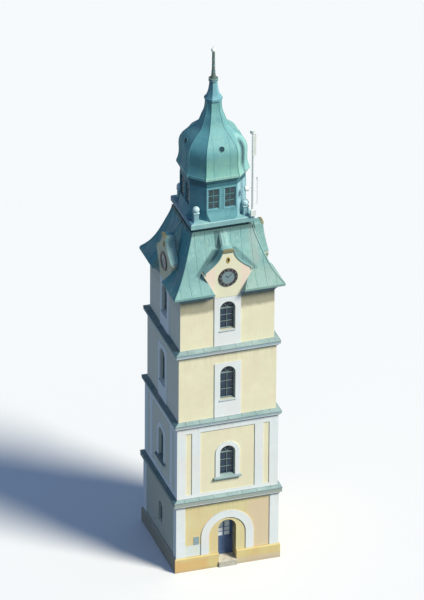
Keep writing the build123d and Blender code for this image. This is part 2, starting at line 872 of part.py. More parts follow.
ball_level = needle_top + sqrt(finial_radius**2 - needle_head**2)
tip_foot = ball_level + finial_radius / 2
ball = Pos(0, 0, ball_level) * Sphere(finial_radius)
ball &= square_block(2 * finial_radius, needle_top, ball_level + 2 * finial_radius)
ball += Pos(0, 0, tip_foot + tip_length / 2) * Cone(tip_radius, tip_radius / 4, tip_length)
write("finial_ball", ball)

# Aerial mast: a pipe on a foot plate, with arms for two panel aerials, a drum, a whip and a cabinet
front = -mast_place
pipe_foot = gallery_level + mast_plate_thickness
panel_foot = panel_head - panel_height
mast_length = mast_top - gallery_level
mast = Pos(mast_place, front, mast_top - mast_length / 2) * Cylinder(mast_radius, mast_length)
mast += Pos(mast_place, front, 0) * square_block(mast_plate_half, gallery_level, pipe_foot)
units = []


def arm(x0, x1, height):
    """A round arm along X, from the pipe's axis to one side."""
    return Pos((x0 + x1) / 2, front, height) * Rot(0, 90, 0) * Cylinder(arm_radius, abs(x1 - x0))


panel_arm = Pos(0, -panel_reach / 2, 0) * Rot(90, 0, 0) * Cylinder(arm_radius, panel_reach)
panel = block(
    -panel_width / 2, panel_width / 2, -panel_reach - panel_thickness, -panel_reach, panel_foot, panel_head
)
for turn in (0, 90):
    place = Pos(mast_place, front, 0) * Rot(0, 0, turn)
    for height in (panel_foot + panel_arm_inset, panel_head - panel_arm_inset):
        mast += place * Pos(0, 0, height) * panel_arm
    units.append(place * panel)
units.append(Pos(mast_place, front, mast_top + head_height / 2) * Cylinder(head_radius, head_height))
drum_face = mast_place - drum_reach
mast += arm(drum_face, mast_place, drum_height)
units.append(
    Pos(drum_face - drum_length / 2, front, drum_height) * Rot(0, 90, 0) * Cylinder(drum_radius, drum_length)
)
whip_x = mast_place + whip_offset
for height in whip_arm_heights:
    mast += arm(mast_place, whip_x, height)
mast += Pos(whip_x, front, (whip_foot + whip_top) / 2) * Cylinder(whip_radius, whip_top - whip_foot)
whip_unit = Cylinder(whip_unit_radius, whip_unit_height)
units.append(Pos(whip_x, front, whip_top + whip_unit_height / 2) * whip_unit)
cabinet_face = front - cabinet_reach
cabinet_head = cabinet_foot + cabinet_height
mast += block(
    mast_place - arm_radius, mast_place + arm_radius, cabinet_face, front,
    cabinet_foot + 2 * arm_radius, cabinet_head - 2 * arm_radius,
)
units.append(block(
    mast_place - cabinet_half, mast_place + cabinet_half, cabinet_face - cabinet_depth, cabinet_face,
    cabinet_foot, cabinet_head,
))
write("aerial_mast", mast)
write("aerial_units", *units)

os.makedirs("parts", exist_ok=True)
for name, shape in parts.items():
    export_step(shape, "parts/" + name + ".step")
print(len(parts), "pieces written")
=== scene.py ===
import json
from math import atan2, cos, pi, radians, sin

import bmesh
import bpy
from mathutils import Matrix, Vector
from mathutils.bvhtree import BVHTree


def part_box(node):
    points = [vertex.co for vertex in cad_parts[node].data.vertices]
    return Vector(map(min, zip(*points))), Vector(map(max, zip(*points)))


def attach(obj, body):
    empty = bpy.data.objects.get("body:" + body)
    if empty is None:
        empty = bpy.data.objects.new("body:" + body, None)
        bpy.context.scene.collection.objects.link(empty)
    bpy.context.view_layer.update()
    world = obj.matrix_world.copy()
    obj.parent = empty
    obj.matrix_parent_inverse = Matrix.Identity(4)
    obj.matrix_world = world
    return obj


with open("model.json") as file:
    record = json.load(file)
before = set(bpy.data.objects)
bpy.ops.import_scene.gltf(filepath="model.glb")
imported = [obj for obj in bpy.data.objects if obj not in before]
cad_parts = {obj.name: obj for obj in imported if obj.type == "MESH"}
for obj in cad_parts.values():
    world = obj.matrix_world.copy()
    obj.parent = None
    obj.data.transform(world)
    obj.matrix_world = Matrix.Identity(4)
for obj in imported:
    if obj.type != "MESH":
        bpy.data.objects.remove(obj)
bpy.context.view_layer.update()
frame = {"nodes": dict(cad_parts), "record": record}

nodes = frame["nodes"]
towerBody = "tower"
doorBody = "door"
print("frame loaded:", len(nodes), "nodes")

# Colour and shader helpers


def linear(hexColour, ratio=1.0):
    # an sRGB hex colour as linear RGBA, made paler or darker by a ratio
    channels = [int(hexColour[i:i + 2], 16) / 255 for i in (1, 3, 5)]
    light = [c / 12.92 if c <= 0.04045 else ((c + 0.055) / 1.055) ** 2.4 for c in channels]
    return [min(1.0, c * ratio) for c in light] + [1.0]


# each kind's node type, settings, inputs in the order of the values, and output passed on (None for all)
nodeKinds = {
    "coordinates": ("ShaderNodeTexCoord", {}, (), "Object"),
    "mapping": ("ShaderNodeMapping", {}, ("Vector", "Scale", "Rotation"), "Vector"),
    "surfaceNormal": ("ShaderNodeNewGeometry", {}, (), "Normal"),
    "split": ("ShaderNodeSeparateXYZ", {}, ("Vector",), None),
    "join": ("ShaderNodeCombineXYZ", {}, ("X", "Y", "Z"), "Vector"),
    "noise": ("ShaderNodeTexNoise", {}, ("Vector", "Scale", "Detail", "Roughness", "Distortion"), "Fac"),
    "randomTone": ("ShaderNodeTexWhiteNoise", {}, ("Vector",), "Value"),
    "spangle": ("ShaderNodeTexVoronoi", {}, ("Vector", "Scale"), "Color"),
    "greyValue": ("ShaderNodeRGBToBW", {}, ("Color",), "Val"),
    "ramp": ("ShaderNodeMapRange", {"clamp": True},
             ("Value", "From Min", "From Max", "To Min", "To Max"), "Result"),
    "choose": ("ShaderNodeMix", {"data_type": "FLOAT"}, (0, 2, 3), 0),
    "blend": ("ShaderNodeMix", {"data_type": "RGBA", "blend_type": "MIX"}, (0, 6, 7), 2),
    "tint": ("ShaderNodeMix", {"data_type": "RGBA", "blend_type": "MULTIPLY"}, (0, 6, 7), 2),
    "bump": ("ShaderNodeBump", {}, ("Height", "Distance", "Strength", "Normal"), "Normal"),
    "shader": ("ShaderNodeBsdfPrincipled", {}, (), "BSDF"),
    "materialOutput": ("ShaderNodeOutputMaterial", {}, ("Surface",), None),
    "rays": ("ShaderNodeLightPath", {}, (), None),
    "background": ("ShaderNodeBackground", {}, ("Color", "Strength"), "Background"),
    "mixedShader": ("ShaderNodeMixShader", {}, (0, 1, 2), "Shader"),
    "worldOutput": ("ShaderNodeOutputWorld", {}, ("Surface",), None),
}
for operation in (
        "ABSOLUTE", "ADD", "FLOOR", "GREATER_THAN", "LESS_THAN", "MAXIMUM", "MULTIPLY", "MULTIPLY_ADD"):
    nodeKinds[operation] = ("ShaderNodeMath", {"operation": operation}, (0, 1, 2), 0)


def fillInputs(tree, node, inputs):
    # a node's inputs, by name or number, from values or links
    for key, value in inputs.items():
        if isinstance(value, bpy.types.NodeSocket):
            tree.links.new(value, node.inputs[key])
        else:
            node.inputs[key].default_value = value


def addNode(tree, kind, *values):
    # a node of one of the kinds above, with its settings and its inputs
    nodeType, settings, inputs, output = nodeKinds[kind]
    node = tree.nodes.new(nodeType)
    for key, value in settings.items():
        setattr(node, key, value)
    fillInputs(tree, node, dict(zip(inputs, values)))
    return node.outputs if output is None else node.outputs[output]


def newMaterial(name):
    material = bpy.data.materials.new(name)
    material.use_nodes = True
    tree = material.node_tree
    tree.nodes.clear()
    surface = addNode(tree, "shader")
    addNode(tree, "materialOutput", surface)
    return material, tree, surface.node


def objectPoint(tree, scale=(1, 1, 1), turn=(0, 0, 0)):
    # Object coordinates in metres, scaled and turned
    return addNode(tree, "mapping", addNode(tree, "coordinates"), scale, turn)


def axes(tree):
    # Object coordinates as separate X, Y and Z
    return addNode(tree, "split", objectPoint(tree))


def blotches(tree, point, sizeMm, detail, roughness, low, high, distortion=0.0):
    # patches about sizeMm wide: noise stretched from low..high to 0..1
    noise = addNode(tree, "noise", point, 1000 / sizeMm, detail, roughness, distortion)
    return addNode(tree, "ramp", noise, low, high)


def streaks(tree, widthMm, lengthMm, low, high):
    # patches drawn out along Z, as rain leaves them on an upright face
    return blotches(tree, objectPoint(tree, (1, 1, widthMm / lengthMm)), widthMm, 4, 0.6, low, high)


def wash(tree, base, mask, amount, colour, ratio=1.0):
    # a hex colour, paler or darker by a ratio, laid over the base where the mask is, by an amount
    return addNode(tree, "blend", addNode(tree, "MULTIPLY", mask, amount), base, linear(colour, ratio))


def belowEdge(tree, height, reach):
    # 1 right under a ledge at this height, fading to 0 over reach, and 0 above it
    z = axes(tree)["Z"]
    fall = addNode(tree, "ramp", z, height - reach, height)
    return addNode(tree, "MULTIPLY", fall, addNode(tree, "LESS_THAN", z, height))


def inBox(tree, low, high, soft):
    # 1 inside a box of the object, fading to 0 over the soft distance round it
    place = axes(tree)
    mask = None
    for axis, least, most in zip("XYZ", low, high):
        rise = addNode(tree, "ramp", place[axis], least - soft, least)
        fall = addNode(tree, "ramp", place[axis], most + soft, most)
        both = addNode(tree, "MULTIPLY", rise, fall)
        mask = both if mask is None else addNode(tree, "MULTIPLY", mask, both)
    return mask


def acrossFace(tree):
    # X on the front and back, Y on the right and left, and which of the two it is
    place = axes(tree)
    sideways = addNode(
        tree, "GREATER_THAN", addNode(tree, "ABSOLUTE", place["X"]), addNode(tree, "ABSOLUTE", place["Y"]))
    return addNode(tree, "choose", sideways, place["X"], place["Y"]), sideways


def paintedShadeSide(tree, ratio):
    # the mask of the painted shade on the left side: 1 where X is less than -ratio * |Y|, which is the left
    # side, and 0 on the rest
    # ratio is X / Y at the front left corner of the plan: 1 for a square, less for the octagon
    place = axes(tree)
    leftwards = addNode(tree, "MULTIPLY", place["X"], -1.0)
    beyond = addNode(tree, "MULTIPLY_ADD", addNode(tree, "ABSOLUTE", place["Y"]), -ratio, leftwards)
    return addNode(tree, "ramp", beyond, -0.008, 0.012)


def facing(tree, axis, low, high):
    # 0 to 1 as the surface's normal along an axis goes from low to high
    along = addNode(tree, "split", addNode(tree, "surfaceNormal"))[axis]
    return addNode(tree, "ramp", along, low, high)


def besideLine(tree, start, end, width, soft):
    # 1 in a strip this wide above a slanting line, on both halves of each of the four sides
    across = addNode(tree, "ABSOLUTE", acrossFace(tree)[0])
    z = axes(tree)["Z"]
    run, rise = end[0] - start[0], end[1] - start[1]
    length = (run ** 2 + rise ** 2) ** 0.5
    outward = (rise / length, -run / length)
    origin = start[0] * outward[0] + start[1] * outward[1]
    reach = addNode(tree, "MULTIPLY_ADD", across, outward[0], -origin)
    reach = addNode(tree, "MULTIPLY_ADD", z, outward[1], reach)
    strip = addNode(tree, "ramp", reach, width + soft, width)
    low = addNode(tree, "ramp", z, start[1] - soft, start[1])
    high = addNode(tree, "ramp", z, end[1] + soft, end[1])
    return addNode(tree, "MULTIPLY", strip, addNode(tree, "MULTIPLY", low, high))


def sheetTone(tree, widthMm, heightMm, shift):
    # one random tone for each metal sheet, running round the four sides, each row shifted against the last
    place = axes(tree)
    across, sideways = acrossFace(tree)
    row = addNode(tree, "FLOOR", addNode(tree, "MULTIPLY", place["Z"], 1000 / heightMm))
    shifted = addNode(tree, "MULTIPLY_ADD", across, 1000 / widthMm, addNode(tree, "MULTIPLY", row, shift))
    return addNode(tree, "randomTone", addNode(tree, "join", addNode(tree, "FLOOR", shifted), sideways, row))


def boxHeight(name, top=True):
    low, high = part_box(name)
    return high[2] if top else low[2]


ledges = [boxHeight(name, False) for name in (
    "lower_string_course", "middle_string_course", "upper_string_course", "eaves_cornice")]

# Materials

limeRender = {
    "grainMm": 9, "grainBumpMm": 1, "trowelMm": 260, "trowelBumpMm": 1.2, "patchMm": 1500, "mottleMm": 380,
    "coatMm": 1100, "streakMm": 90, "streakLengthMm": 1900, "paler": 1.05, "darker": 0.88, "mottle": 0.3,
    # this line also holds two painted shades: a shadow under the eaves, and darker faces that look up
    "ledgeReach": 0.9, "eavesShadowReach": 0.9, "eavesShadowTint": "#8c8a76", "topShadeRatio": 0.5, "topShadeAmount": 0.8,
    "shadeAmount": 0.8,
}


def limeRenderMaterial(name, colour, stain, stainAmount=0.5, warm=None, warmAmount=0.5, places=(),
                       eavesShadow=0.0, shadeTint=None):
    # lime render floated smooth and limewashed: matt, faintly trowelled, with run marks under each ledge
    # warm is the tint of older coats in wide patches, places are (colour, amount, low, high, soft) washes,
    # the eaves amount is a painted shadow under the eaves, and shadeTint tints the left side with painted
    # shade
    material, tree, shader = newMaterial(name)
    spec = limeRender
    point = objectPoint(tree)
    patch = blotches(tree, point, spec["patchMm"], 2, 0.55, 0.38, 0.62)
    mottle = blotches(tree, point, spec["mottleMm"], 3, 0.55, 0.3, 0.7)
    base = addNode(tree, "blend", patch, linear(colour), linear(colour, spec["paler"]))
    if warm:
        coats = objectPoint(tree, (1, 1, 0.7), (0.3, 0.2, 0.5))
        old = blotches(tree, coats, spec["coatMm"], 2, 0.5, 0.44, 0.62)
        base = wash(tree, base, old, warmAmount, warm)
    base = wash(tree, base, mottle, spec["mottle"], colour, spec["darker"])
    run = streaks(tree, spec["streakMm"], spec["streakLengthMm"], 0.46, 0.66)
    under = None
    for height in ledges:
        here = belowEdge(tree, height, spec["ledgeReach"])
        under = here if under is None else addNode(tree, "ADD", under, here)
    wet = addNode(tree, "MULTIPLY", run, addNode(tree, "MULTIPLY_ADD", under, 0.8, 0.15))
    base = wash(tree, base, wet, stainAmount, stain)
    # painted shadow under the eaves, made ragged by the mottle
    if eavesShadow:
        eavesShadowMask = belowEdge(tree, ledges[-1], spec["eavesShadowReach"])
        eavesShadowMask = addNode(tree, "MULTIPLY_ADD", mottle, 0.12, eavesShadowMask)
        eavesShadowMask = addNode(tree, "ramp", eavesShadowMask, 0.12, 0.36, 0.0, eavesShadow)
        base = addNode(tree, "blend", eavesShadowMask, base, linear(spec["eavesShadowTint"]))
    for tint, amount, low, high, soft in places:
        ragged = addNode(tree, "MULTIPLY_ADD", mottle, 0.5, 0.6)
        there = addNode(tree, "MULTIPLY", inBox(tree, low, high, soft), ragged)
        base = addNode(tree, "blend", addNode(tree, "ramp", there, 0.1, 0.9, 0.0, amount), base, linear(tint))
    # faces that look up darkened by half: painted shade over tops that catch the sun
    base = wash(tree, base, facing(tree, "Z", 0.6, 0.9), spec["topShadeAmount"], colour, spec["topShadeRatio"])
    # painted shade on the left side
    if shadeTint:
        base = wash(tree, base, paintedShadeSide(tree, 1.0), spec["shadeAmount"], shadeTint)
    grain = addNode(tree, "noise", point, 1000 / spec["grainMm"], 3, 0.7)
    trowel = addNode(tree, "noise", point, 1000 / spec["trowelMm"], 2, 0.5, 0.4)
    normal = addNode(tree, "bump", grain, spec["grainBumpMm"] / 1000, 0.4)
    normal = addNode(tree, "bump", trowel, spec["trowelBumpMm"] / 1000, 0.5, normal)
    fillInputs(tree, shader, {
        "Base Color": base, "Normal": normal, "Roughness": 0.9, "Specular IOR Level": 0.3})
    return material


copperPatina = {
    "cloudMm": 1100, "cloud": 0.6, "blotchMm": 260, "blotch": 0.35, "blotchBumpMm": 1.5, "speckMm": 30,
    "speck": 0.2, "streakMm": 80, "streakLengthMm": 1700, "dentMm": 420, "dentBumpMm": 26, "sheetMm": 560,
    "lapMm": 900, "lapShift": 0.37, "sheet": 0.25,
}


def copperMaterial(name, colour, bloom, dark, earth, streakAmount=0.5, earthAmount=0.3, places=(),
                   valley=None, side=None):
    # copper sheet under verdigris: a matt mineral crust, each sheet of its own tone, clouded,
    # with pale chalky runs and a little brown down the slope, and a darker strip beside a gable
    # side is the tint and the ratio of the painted shade on the left side, which spares what faces the front
    # on a square plan
    material, tree, shader = newMaterial(name)
    spec = copperPatina
    point = objectPoint(tree)
    cloud = blotches(tree, point, spec["cloudMm"], 3, 0.6, 0.36, 0.66, 0.5)
    blotch = blotches(tree, point, spec["blotchMm"], 5, 0.65, 0.45, 0.72, 0.8)
    speck = blotches(tree, point, spec["speckMm"], 2, 0.6, 0.58, 0.72)
    run = streaks(tree, spec["streakMm"], spec["streakLengthMm"], 0.48, 0.66)
    brown = streaks(tree, spec["streakMm"] * 2.3, spec["streakLengthMm"] * 0.8, 0.58, 0.74)
    sheet = sheetTone(tree, spec["sheetMm"], spec["lapMm"], spec["lapShift"])
    base = wash(tree, linear(colour), cloud, spec["cloud"], bloom)
    for end, tone in ((1.0, dark), (0.0, bloom)):
        extreme = addNode(tree, "ramp", sheet, 0.5, end, 0.0, spec["sheet"])
        base = addNode(tree, "blend", extreme, base, linear(tone))
    base = wash(tree, base, blotch, spec["blotch"], dark)
    base = wash(tree, base, run, streakAmount, bloom)
    base = wash(tree, base, brown, earthAmount, earth)
    base = wash(tree, base, speck, spec["speck"], dark)
    for tint, amount, low, high, soft in places:
        runny = addNode(tree, "ramp", run, 0.0, 1.0, 0.6, 1.0)
        there = addNode(tree, "MULTIPLY", inBox(tree, low, high, soft), runny)
        base = wash(tree, base, there, amount, tint)
    if valley:
        tint, amount, start, end, width, soft = valley
        clouded = addNode(tree, "ramp", cloud, 0.0, 1.0, 0.5, amount)
        kept = addNode(tree, "MULTIPLY", besideLine(tree, start, end, width, soft), clouded)
        base = addNode(tree, "blend", kept, base, linear(tint))
    # painted shade on the left side, multiplied over the colour
    if side:
        tint, ratio = side
        leftShade = paintedShadeSide(tree, ratio)
        if ratio == 1.0:
            leftShade = addNode(tree, "MULTIPLY", leftShade, facing(tree, "Y", -0.45, -0.2))
        base = addNode(tree, "tint", leftShade, base, linear(tint))
    dents = addNode(tree, "noise", point, 1000 / spec["dentMm"], 2, 0.55)
    normal = addNode(tree, "bump", dents, spec["dentBumpMm"] / 1000, 0.5)
    normal = addNode(tree, "bump", blotch, spec["blotchBumpMm"] / 1000, 0.5, normal)
    rough = addNode(tree, "ramp", cloud, 0.0, 1.0, 0.55, 0.8)
    fillInputs(tree, shader, {"Base Color": base, "Normal": normal, "Roughness": rough})
    return material


oilPaint = {"patchMm": 300, "bumpStrength": 0.6, "smoother": 0.08, "rougher": 0.1}


def paintMaterial(name, colour, worn, roughness, grainMm, bumpMm, along=(1, 1, 0.06), wornAmount=0.35):
    # oil paint over wood or iron, with the grain showing through and worn patches
    material, tree, shader = newMaterial(name)
    grain = addNode(tree, "noise", objectPoint(tree, along), 1000 / grainMm, 4, 0.6)
    patch = blotches(tree, objectPoint(tree), oilPaint["patchMm"], 4, 0.6, 0.5, 0.75)
    fillInputs(tree, shader, {
        "Base Color": wash(tree, linear(colour), patch, wornAmount, worn),
        "Normal": addNode(tree, "bump", grain, bumpMm / 1000, oilPaint["bumpStrength"]),
        "Roughness": addNode(
            tree, "ramp", grain, 0.3, 0.7, roughness - oilPaint["smoother"], roughness + oilPaint["rougher"]),
    })
    return material


floatGlass = {"dustMm": 220, "ior": 1.52, "cleanRoughness": 0.04, "dustyRoughness": 0.22}


def glassMaterial(name, colour, dusty, transmission, dustAmount):
    # float glass before a dark room: nearly black, with a sharp sky reflection and dusty edges
    material, tree, shader = newMaterial(name)
    dust = blotches(tree, objectPoint(tree), floatGlass["dustMm"], 4, 0.6, 0.45, 0.75)
    fillInputs(tree, shader, {
        "Base Color": wash(tree, linear(colour), dust, dustAmount, dusty),
        "Roughness": addNode(
            tree, "ramp", dust, 0.0, 1.0, floatGlass["cleanRoughness"], floatGlass["dustyRoughness"]),
        "IOR": floatGlass["ior"], "Transmission Weight": transmission,
    })
    return material


sandstone = {"patchMm": 160, "grainMm": 6, "grainBumpMm": 2, "roughness": 0.85}


def stoneMaterial(name, colour, dark):
    # worn sandstone: fine-grained and matt, darker where feet and damp reach
    material, tree, shader = newMaterial(name)
    point = objectPoint(tree)
    patch = blotches(tree, point, sandstone["patchMm"], 5, 0.6, 0.35, 0.7)
    grain = addNode(tree, "noise", point, 1000 / sandstone["grainMm"], 3, 0.7)
    fillInputs(tree, shader, {
        "Base Color": addNode(tree, "blend", patch, linear(colour), linear(dark)),
        "Normal": addNode(tree, "bump", grain, sandstone["grainBumpMm"] / 1000, 0.5),
        "Roughness": sandstone["roughness"],
    })
    return material


hotDipZinc = {"spangleMm": 18, "dull": "#a9b2b6", "bright": "#c6cccd", "metallic": 0.6}


def zincMaterial(name):
    # hot-dip zinc on steel tube: dull grey with a faint spangle
    material, tree, shader = newMaterial(name)
    spangle = addNode(tree, "spangle", objectPoint(tree), 1000 / hotDipZinc["spangleMm"])
    grey = addNode(tree, "greyValue", spangle)
    fillInputs(tree, shader, {
        "Base Color": addNode(tree, "blend", grey, linear(hotDipZinc["dull"]), linear(hotDipZinc["bright"])),
        "Roughness": addNode(tree, "ramp", grey, 0.0, 1.0, 0.38, 0.55), "Metallic": hotDipZinc["metallic"],
    })
    return material


far = 4.0        # a distance outside the tower's walls, for washes that run on
# each wash is a colour, its amount, a box's low and high corners and its softness: some are the photo's
# weathering, and those marked below are painted shade or painted light
gableWings = [
    ("#efd9ca", 0.8, (0.72, -far, 15.0), (1.5, far, 18.0), 0.12),
    ("#efd9ca", 0.8, (-1.5, -far, 15.0), (-0.72, far, 18.0), 0.12),
]
stringTintsAndPaintedLight = [("#9fa69a", 0.8, (-far, -far, ledges[0]), (far, far, boxHeight("lower_string_course")), 0.01)]
# a pale band at the foot of each string course: painted light over its shaded underside
for ledge in ledges[:3]:
    stringTintsAndPaintedLight.append(("#f1efec", 0.9, (-far, -far, ledge), (far, far, ledge + 0.1), 0.03))
# greenish grey over the gables' shoulder tips: painted shade on their sunlit tops
shoulderShade = []
for sign in (-1, 1):
    inner, outer = sorted((sign * 1.16, sign * 1.5))
    shoulderShade.append(("#86a19c", 1.0, (inner, -far, 16.80), (outer, far, 17.1), 0.03))
    shoulderShade.append(("#86a19c", 1.0, (-far, inner, 16.80), (far, outer, 17.1), 0.03))
# tints of the painted shade on the left side, for the square and the octagonal plans
squareSideShade = ("#76bdd8", 1.0)
octagonRatio = 0.543        # X / Y at the lantern's front left corner
octagonSideShade = ("#accddf", octagonRatio)
jambShade = ("#58635f", 0.85, (0.40, -2.62, 0.0), (0.52, -1.8, 2.75), 0.03)
groundWashes = [
    ("#dbe5e6", 0.95, (-2.28, -far, 0.0), (-1.42, -2.6, 1.42), 0.05),
    ("#dbc7ae", 0.75, (1.3, -far, 0.0), (far, -2.6, 3.4), 0.4),
    jambShade,
]
plinthWashes = [
    ("#dfb478", 0.75, (-far, -far, 0.0), (-1.2, -2.6, 0.5), 0.35),
    ("#cdbfb2", 0.75, (0.2, -far, 0.0), (far, -2.6, 0.18), 0.3),
    ("#b9a98c", 0.5, (-far, -far, 0.0), (far, far, 0.06), 0.12),
    jambShade,
]
roofStainsAndShade = [
    ("#98a29c", 0.8, (1.42, -far, 17.0), (1.72, -1.3, 18.9), 0.14),
    # nearly black band round the roof's top: painted shade of the groove under the gallery's overhang
    ("#0c242b", 0.97, (-2.0, -2.0, 18.64), (2.0, 2.0, 19.0), 0.05),
    ("#8fa596", 0.6, (0.9, -far, 15.8), (far, -2.0, 16.6), 0.4),
    ("#5f908f", 0.4, (-far, -far, 15.8), (-1.1, -1.5, 17.2), 0.5),
    ("#a9d8d0", 0.22, (-far, -far, 17.7), (far, -1.3, 18.7), 0.5),
    # darker over the right gable where it faces the sun: painted shade
    ("#456967", 0.75, (1.6, -1.38, 16.4), (far, 0.0, 18.5), 0.1),
    # dark patch left of the front saddle's ridge: painted shadow of the ridge
    ("#16333c", 0.85, (-0.42, -far, 17.95), (-0.14, -1.3, 18.75), 0.05),
]
# the recessed neck under the gallery nearly black: painted shade of the groove
galleryNeckShade = [("#0c242b", 0.97, (-1.5, -1.5, 18.0), (1.5, 1.5, 19.01), 0.01)]
domeTintsAndLight = [
    # paler on the right chamfer: painted light over the sunlit face and the mast's shadow on it
    ("#a9d9d4", 0.5, (0.9, -far, 21.75), (far, -0.75, 23.7), 0.1),
    ("#a6cfc9", 0.8, (-far, -far, 21.5), (far, far, 21.73), 0.05),
    ("#8cc0a4", 0.45, (-0.9, -far, 21.6), (0.9, -1.2, 22.5), 0.4),
]
# paler on the lantern's right chamfer: painted light of the sun on it
lanternChamferLight = [("#b3dbe6", 0.8, (0.83, -far, 19.3), (far, -0.7, 21.2), 0.02)]
postWashes = [("#d3ebee", 0.85, (-far, -far, 19.79), (far, far, 20.3), 0.03)]
copingShade = [
    # darker on the gable copings where they catch the sun: painted shade
    ("#5c7d7f", 0.8, (0.24, -far, 16.8), (1.3, far, 18.0), 0.06),
    ("#5c7d7f", 0.5, (-1.3, -far, 16.8), (-0.24, far, 18.0), 0.06),
    # darker over the right gable's copings where they face the sun: painted shade
    ("#4f7674", 0.75, (1.6, -1.38, 16.4), (far, 0.0, 18.5), 0.1),
]
# colour, amount, the line's start and end as across and height, the strip's width and softness
# a darker strip on the roof along each gable's outline
valleyDark = ("#3d6064", 0.9, (1.24, 16.74), (0.26, 17.83), 0.24, 0.08)
# each shadeTint and side below paints shade onto the left side, and the eaves amount paints a shadow under the
# eaves
materials = {
    "yellow_render": limeRenderMaterial(
        "limewashYellow", "#e8e3c4", "#bdb494", 0.35, "#ead9c0", 0.35, eavesShadow=0.75, shadeTint="#e4e6de"),
    "ochre_render": limeRenderMaterial(
        "limewashOchre", "#dccb90", "#a3936a", 0.3, "#d9b478", 0.5, plinthWashes, shadeTint="#949896"),
    "white_render": limeRenderMaterial(
        "limewashWhite", "#e3eaeb", "#b9bfba", 0.35, "#ece3de", 0.35, shadeTint="#f8feff"),
    "gable_render": limeRenderMaterial(
        "limewashCream", "#e6e4c8", "#c4b298", 0.35, places=gableWings + shoulderShade),
    "moulding_render": limeRenderMaterial(
        "limewashGrey", "#98afb8", "#86a6a8", 0.5, "#b3a6a2", 0.4, places=stringTintsAndPaintedLight),
    "step_stone": stoneMaterial("sandstoneStep", "#cfcbbd", "#a9a493"),
    "floor_stone": stoneMaterial("stoneFlags", "#77726a", "#595650"),
    "floor_boards": paintMaterial("larchBoards", "#7c6248", "#5b4836", 0.75, 30, 1.5, (1, 0.05, 1)),
    "copper": copperMaterial(
        "verdigrisCopper", "#6d9999", "#8eb6ae", "#577f86", "#8c9c86", places=roofStainsAndShade, valley=valleyDark,
        side=squareSideShade),
    "flashing_copper": copperMaterial(
        "bleachedCopper", "#799092", "#9bb0ad", "#638084", "#948c84", 0.5, 0.3, side=("#7298aa", 1.0)),
    "door_paint": paintMaterial("blueDoorPaint", "#48608a", "#3a4b60", 0.5, 24, 1.2),
    "black_iron": paintMaterial("blackIronPaint", "#25262c", "#40403c", 0.5, 14, 0.6, (1, 1, 1), 0.25),
    "white_joinery": paintMaterial("greyWindowPaint", "#788a8b", "#5d6f72", 0.5, 18, 0.8),
    "window_glass": glassMaterial("windowGlass", "#0f2c46", "#345669", 0.1, 0.5),
    "clock_dial": paintMaterial("opalDial", "#748d91", "#9fb0b8", 0.3, 60, 0.1, (1, 1, 1), 0.5),
    "pale_metal": paintMaterial("paleGreyPaint", "#dfe4e0", "#b7bdb8", 0.4, 30, 0.4, (1, 1, 1), 0.4),
    "galvanised_steel": zincMaterial("galvanisedSteel"),
}
groundRender = limeRenderMaterial(
    "limewashOldYellow", "#ddd2a2", "#b8a682", 0.4, "#e2c894", 0.6, groundWashes, shadeTint="#c3cac6")
sillRender = limeRenderMaterial("limewashSill", "#c6d0d2", "#8f9893", 0.5)
# near-white pane: partly the glass's own pale tone, partly a painted reflection of the sky
doorPane = glassMaterial("paleDoorGlassPaintedSky", "#e2f0fb", "#f5fafe", 0.0, 0.8)
lanternPane = glassMaterial("lanternGlass", "#213c40", "#566a74", 0.05, 0.6)
# each side tint below paints shade onto the left side
domeCopper = copperMaterial(
    "domeCopper", "#659ea1", "#82b5ae", "#508895", "#82a68f", 0.4, 0.25, domeTintsAndLight, side=octagonSideShade)
lanternCopper = copperMaterial(
    "lanternCopper", "#548f98", "#70a8ad", "#417a85", "#7a9c88", 0.4, 0.2, lanternChamferLight, side=octagonSideShade)
# the lantern cornice under the dome's eave made dark: painted shade of the eave
corniceShadeCopper = copperMaterial(
    "corniceShadeCopper", "#2f626e", "#3f7880", "#244f5c", "#4c6f68", 0.4, 0.2, side=octagonSideShade)
galleryCopper = copperMaterial(
    "galleryCopper", "#7da8a9", "#98c1c2", "#6996a7", "#8f9f96", 0.5, 0.3, galleryNeckShade,
    side=("#8ba9c6", 1.0))
postCopper = copperMaterial(
    "postCopper", "#7ba7b0", "#9cc2c8", "#628d98", "#8faaa0", 0.4, 0.2, places=postWashes)
copingCopper = copperMaterial(
    "copingCopper", "#7eabac", "#98bfb9", "#628c90", "#93a590", 0.5, 0.3, copingShade, side=squareSideShade)
spireCopper = copperMaterial(
    "spireCopper", "#679fac", "#83b6be", "#4e8592", "#8fae9a", 0.4, 0.15, side=("#98b0c0", octagonRatio))
needleCopper = copperMaterial("needleCopper", "#576a62", "#6c7c76", "#455953", "#757261", 0.5, 0.4)
nodeMaterials = {
    "upper_window_sills": sillRender, "door_glass": doorPane, "dome": domeCopper,
    "lantern_glass": lanternPane, "lantern_base": lanternCopper, "lantern_walls": lanternCopper,
    "lantern_cornice": corniceShadeCopper, "lantern_window_frames": spireCopper, "corner_posts": postCopper,
    "gallery_floor": galleryCopper, "spire_cone": spireCopper, "spire_needle": needleCopper,
    "gable_copings": copingCopper,
}
for wall in ("front_wall_left", "front_wall_right", "wall_over_door", "right_wall", "left_wall", "back_wall"):
    nodeMaterials["ground_" + wall] = groundRender
for part in frame["record"]["subparts"]:
    node = nodes[part["node"]]
    node.data.materials.clear()
    node.data.materials.append(nodeMaterials.get(part["node"], materials[part["material_slot"]]))
print("materials made:", len(bpy.data.materials))

# Mesh helpers


def addObject(name, data):
    # an object for a mesh, a curve, a light or a camera, in the scene
    added = bpy.data.objects.new(name, data)
    bpy.context.scene.collection.objects.link(added)
    return added


def meshObject(name, bm):
    # a finished bmesh as an object
    mesh = bpy.data.meshes.new(name)
    bm.to_mesh(mesh)
    bm.free()
    return addObject(name, mesh)


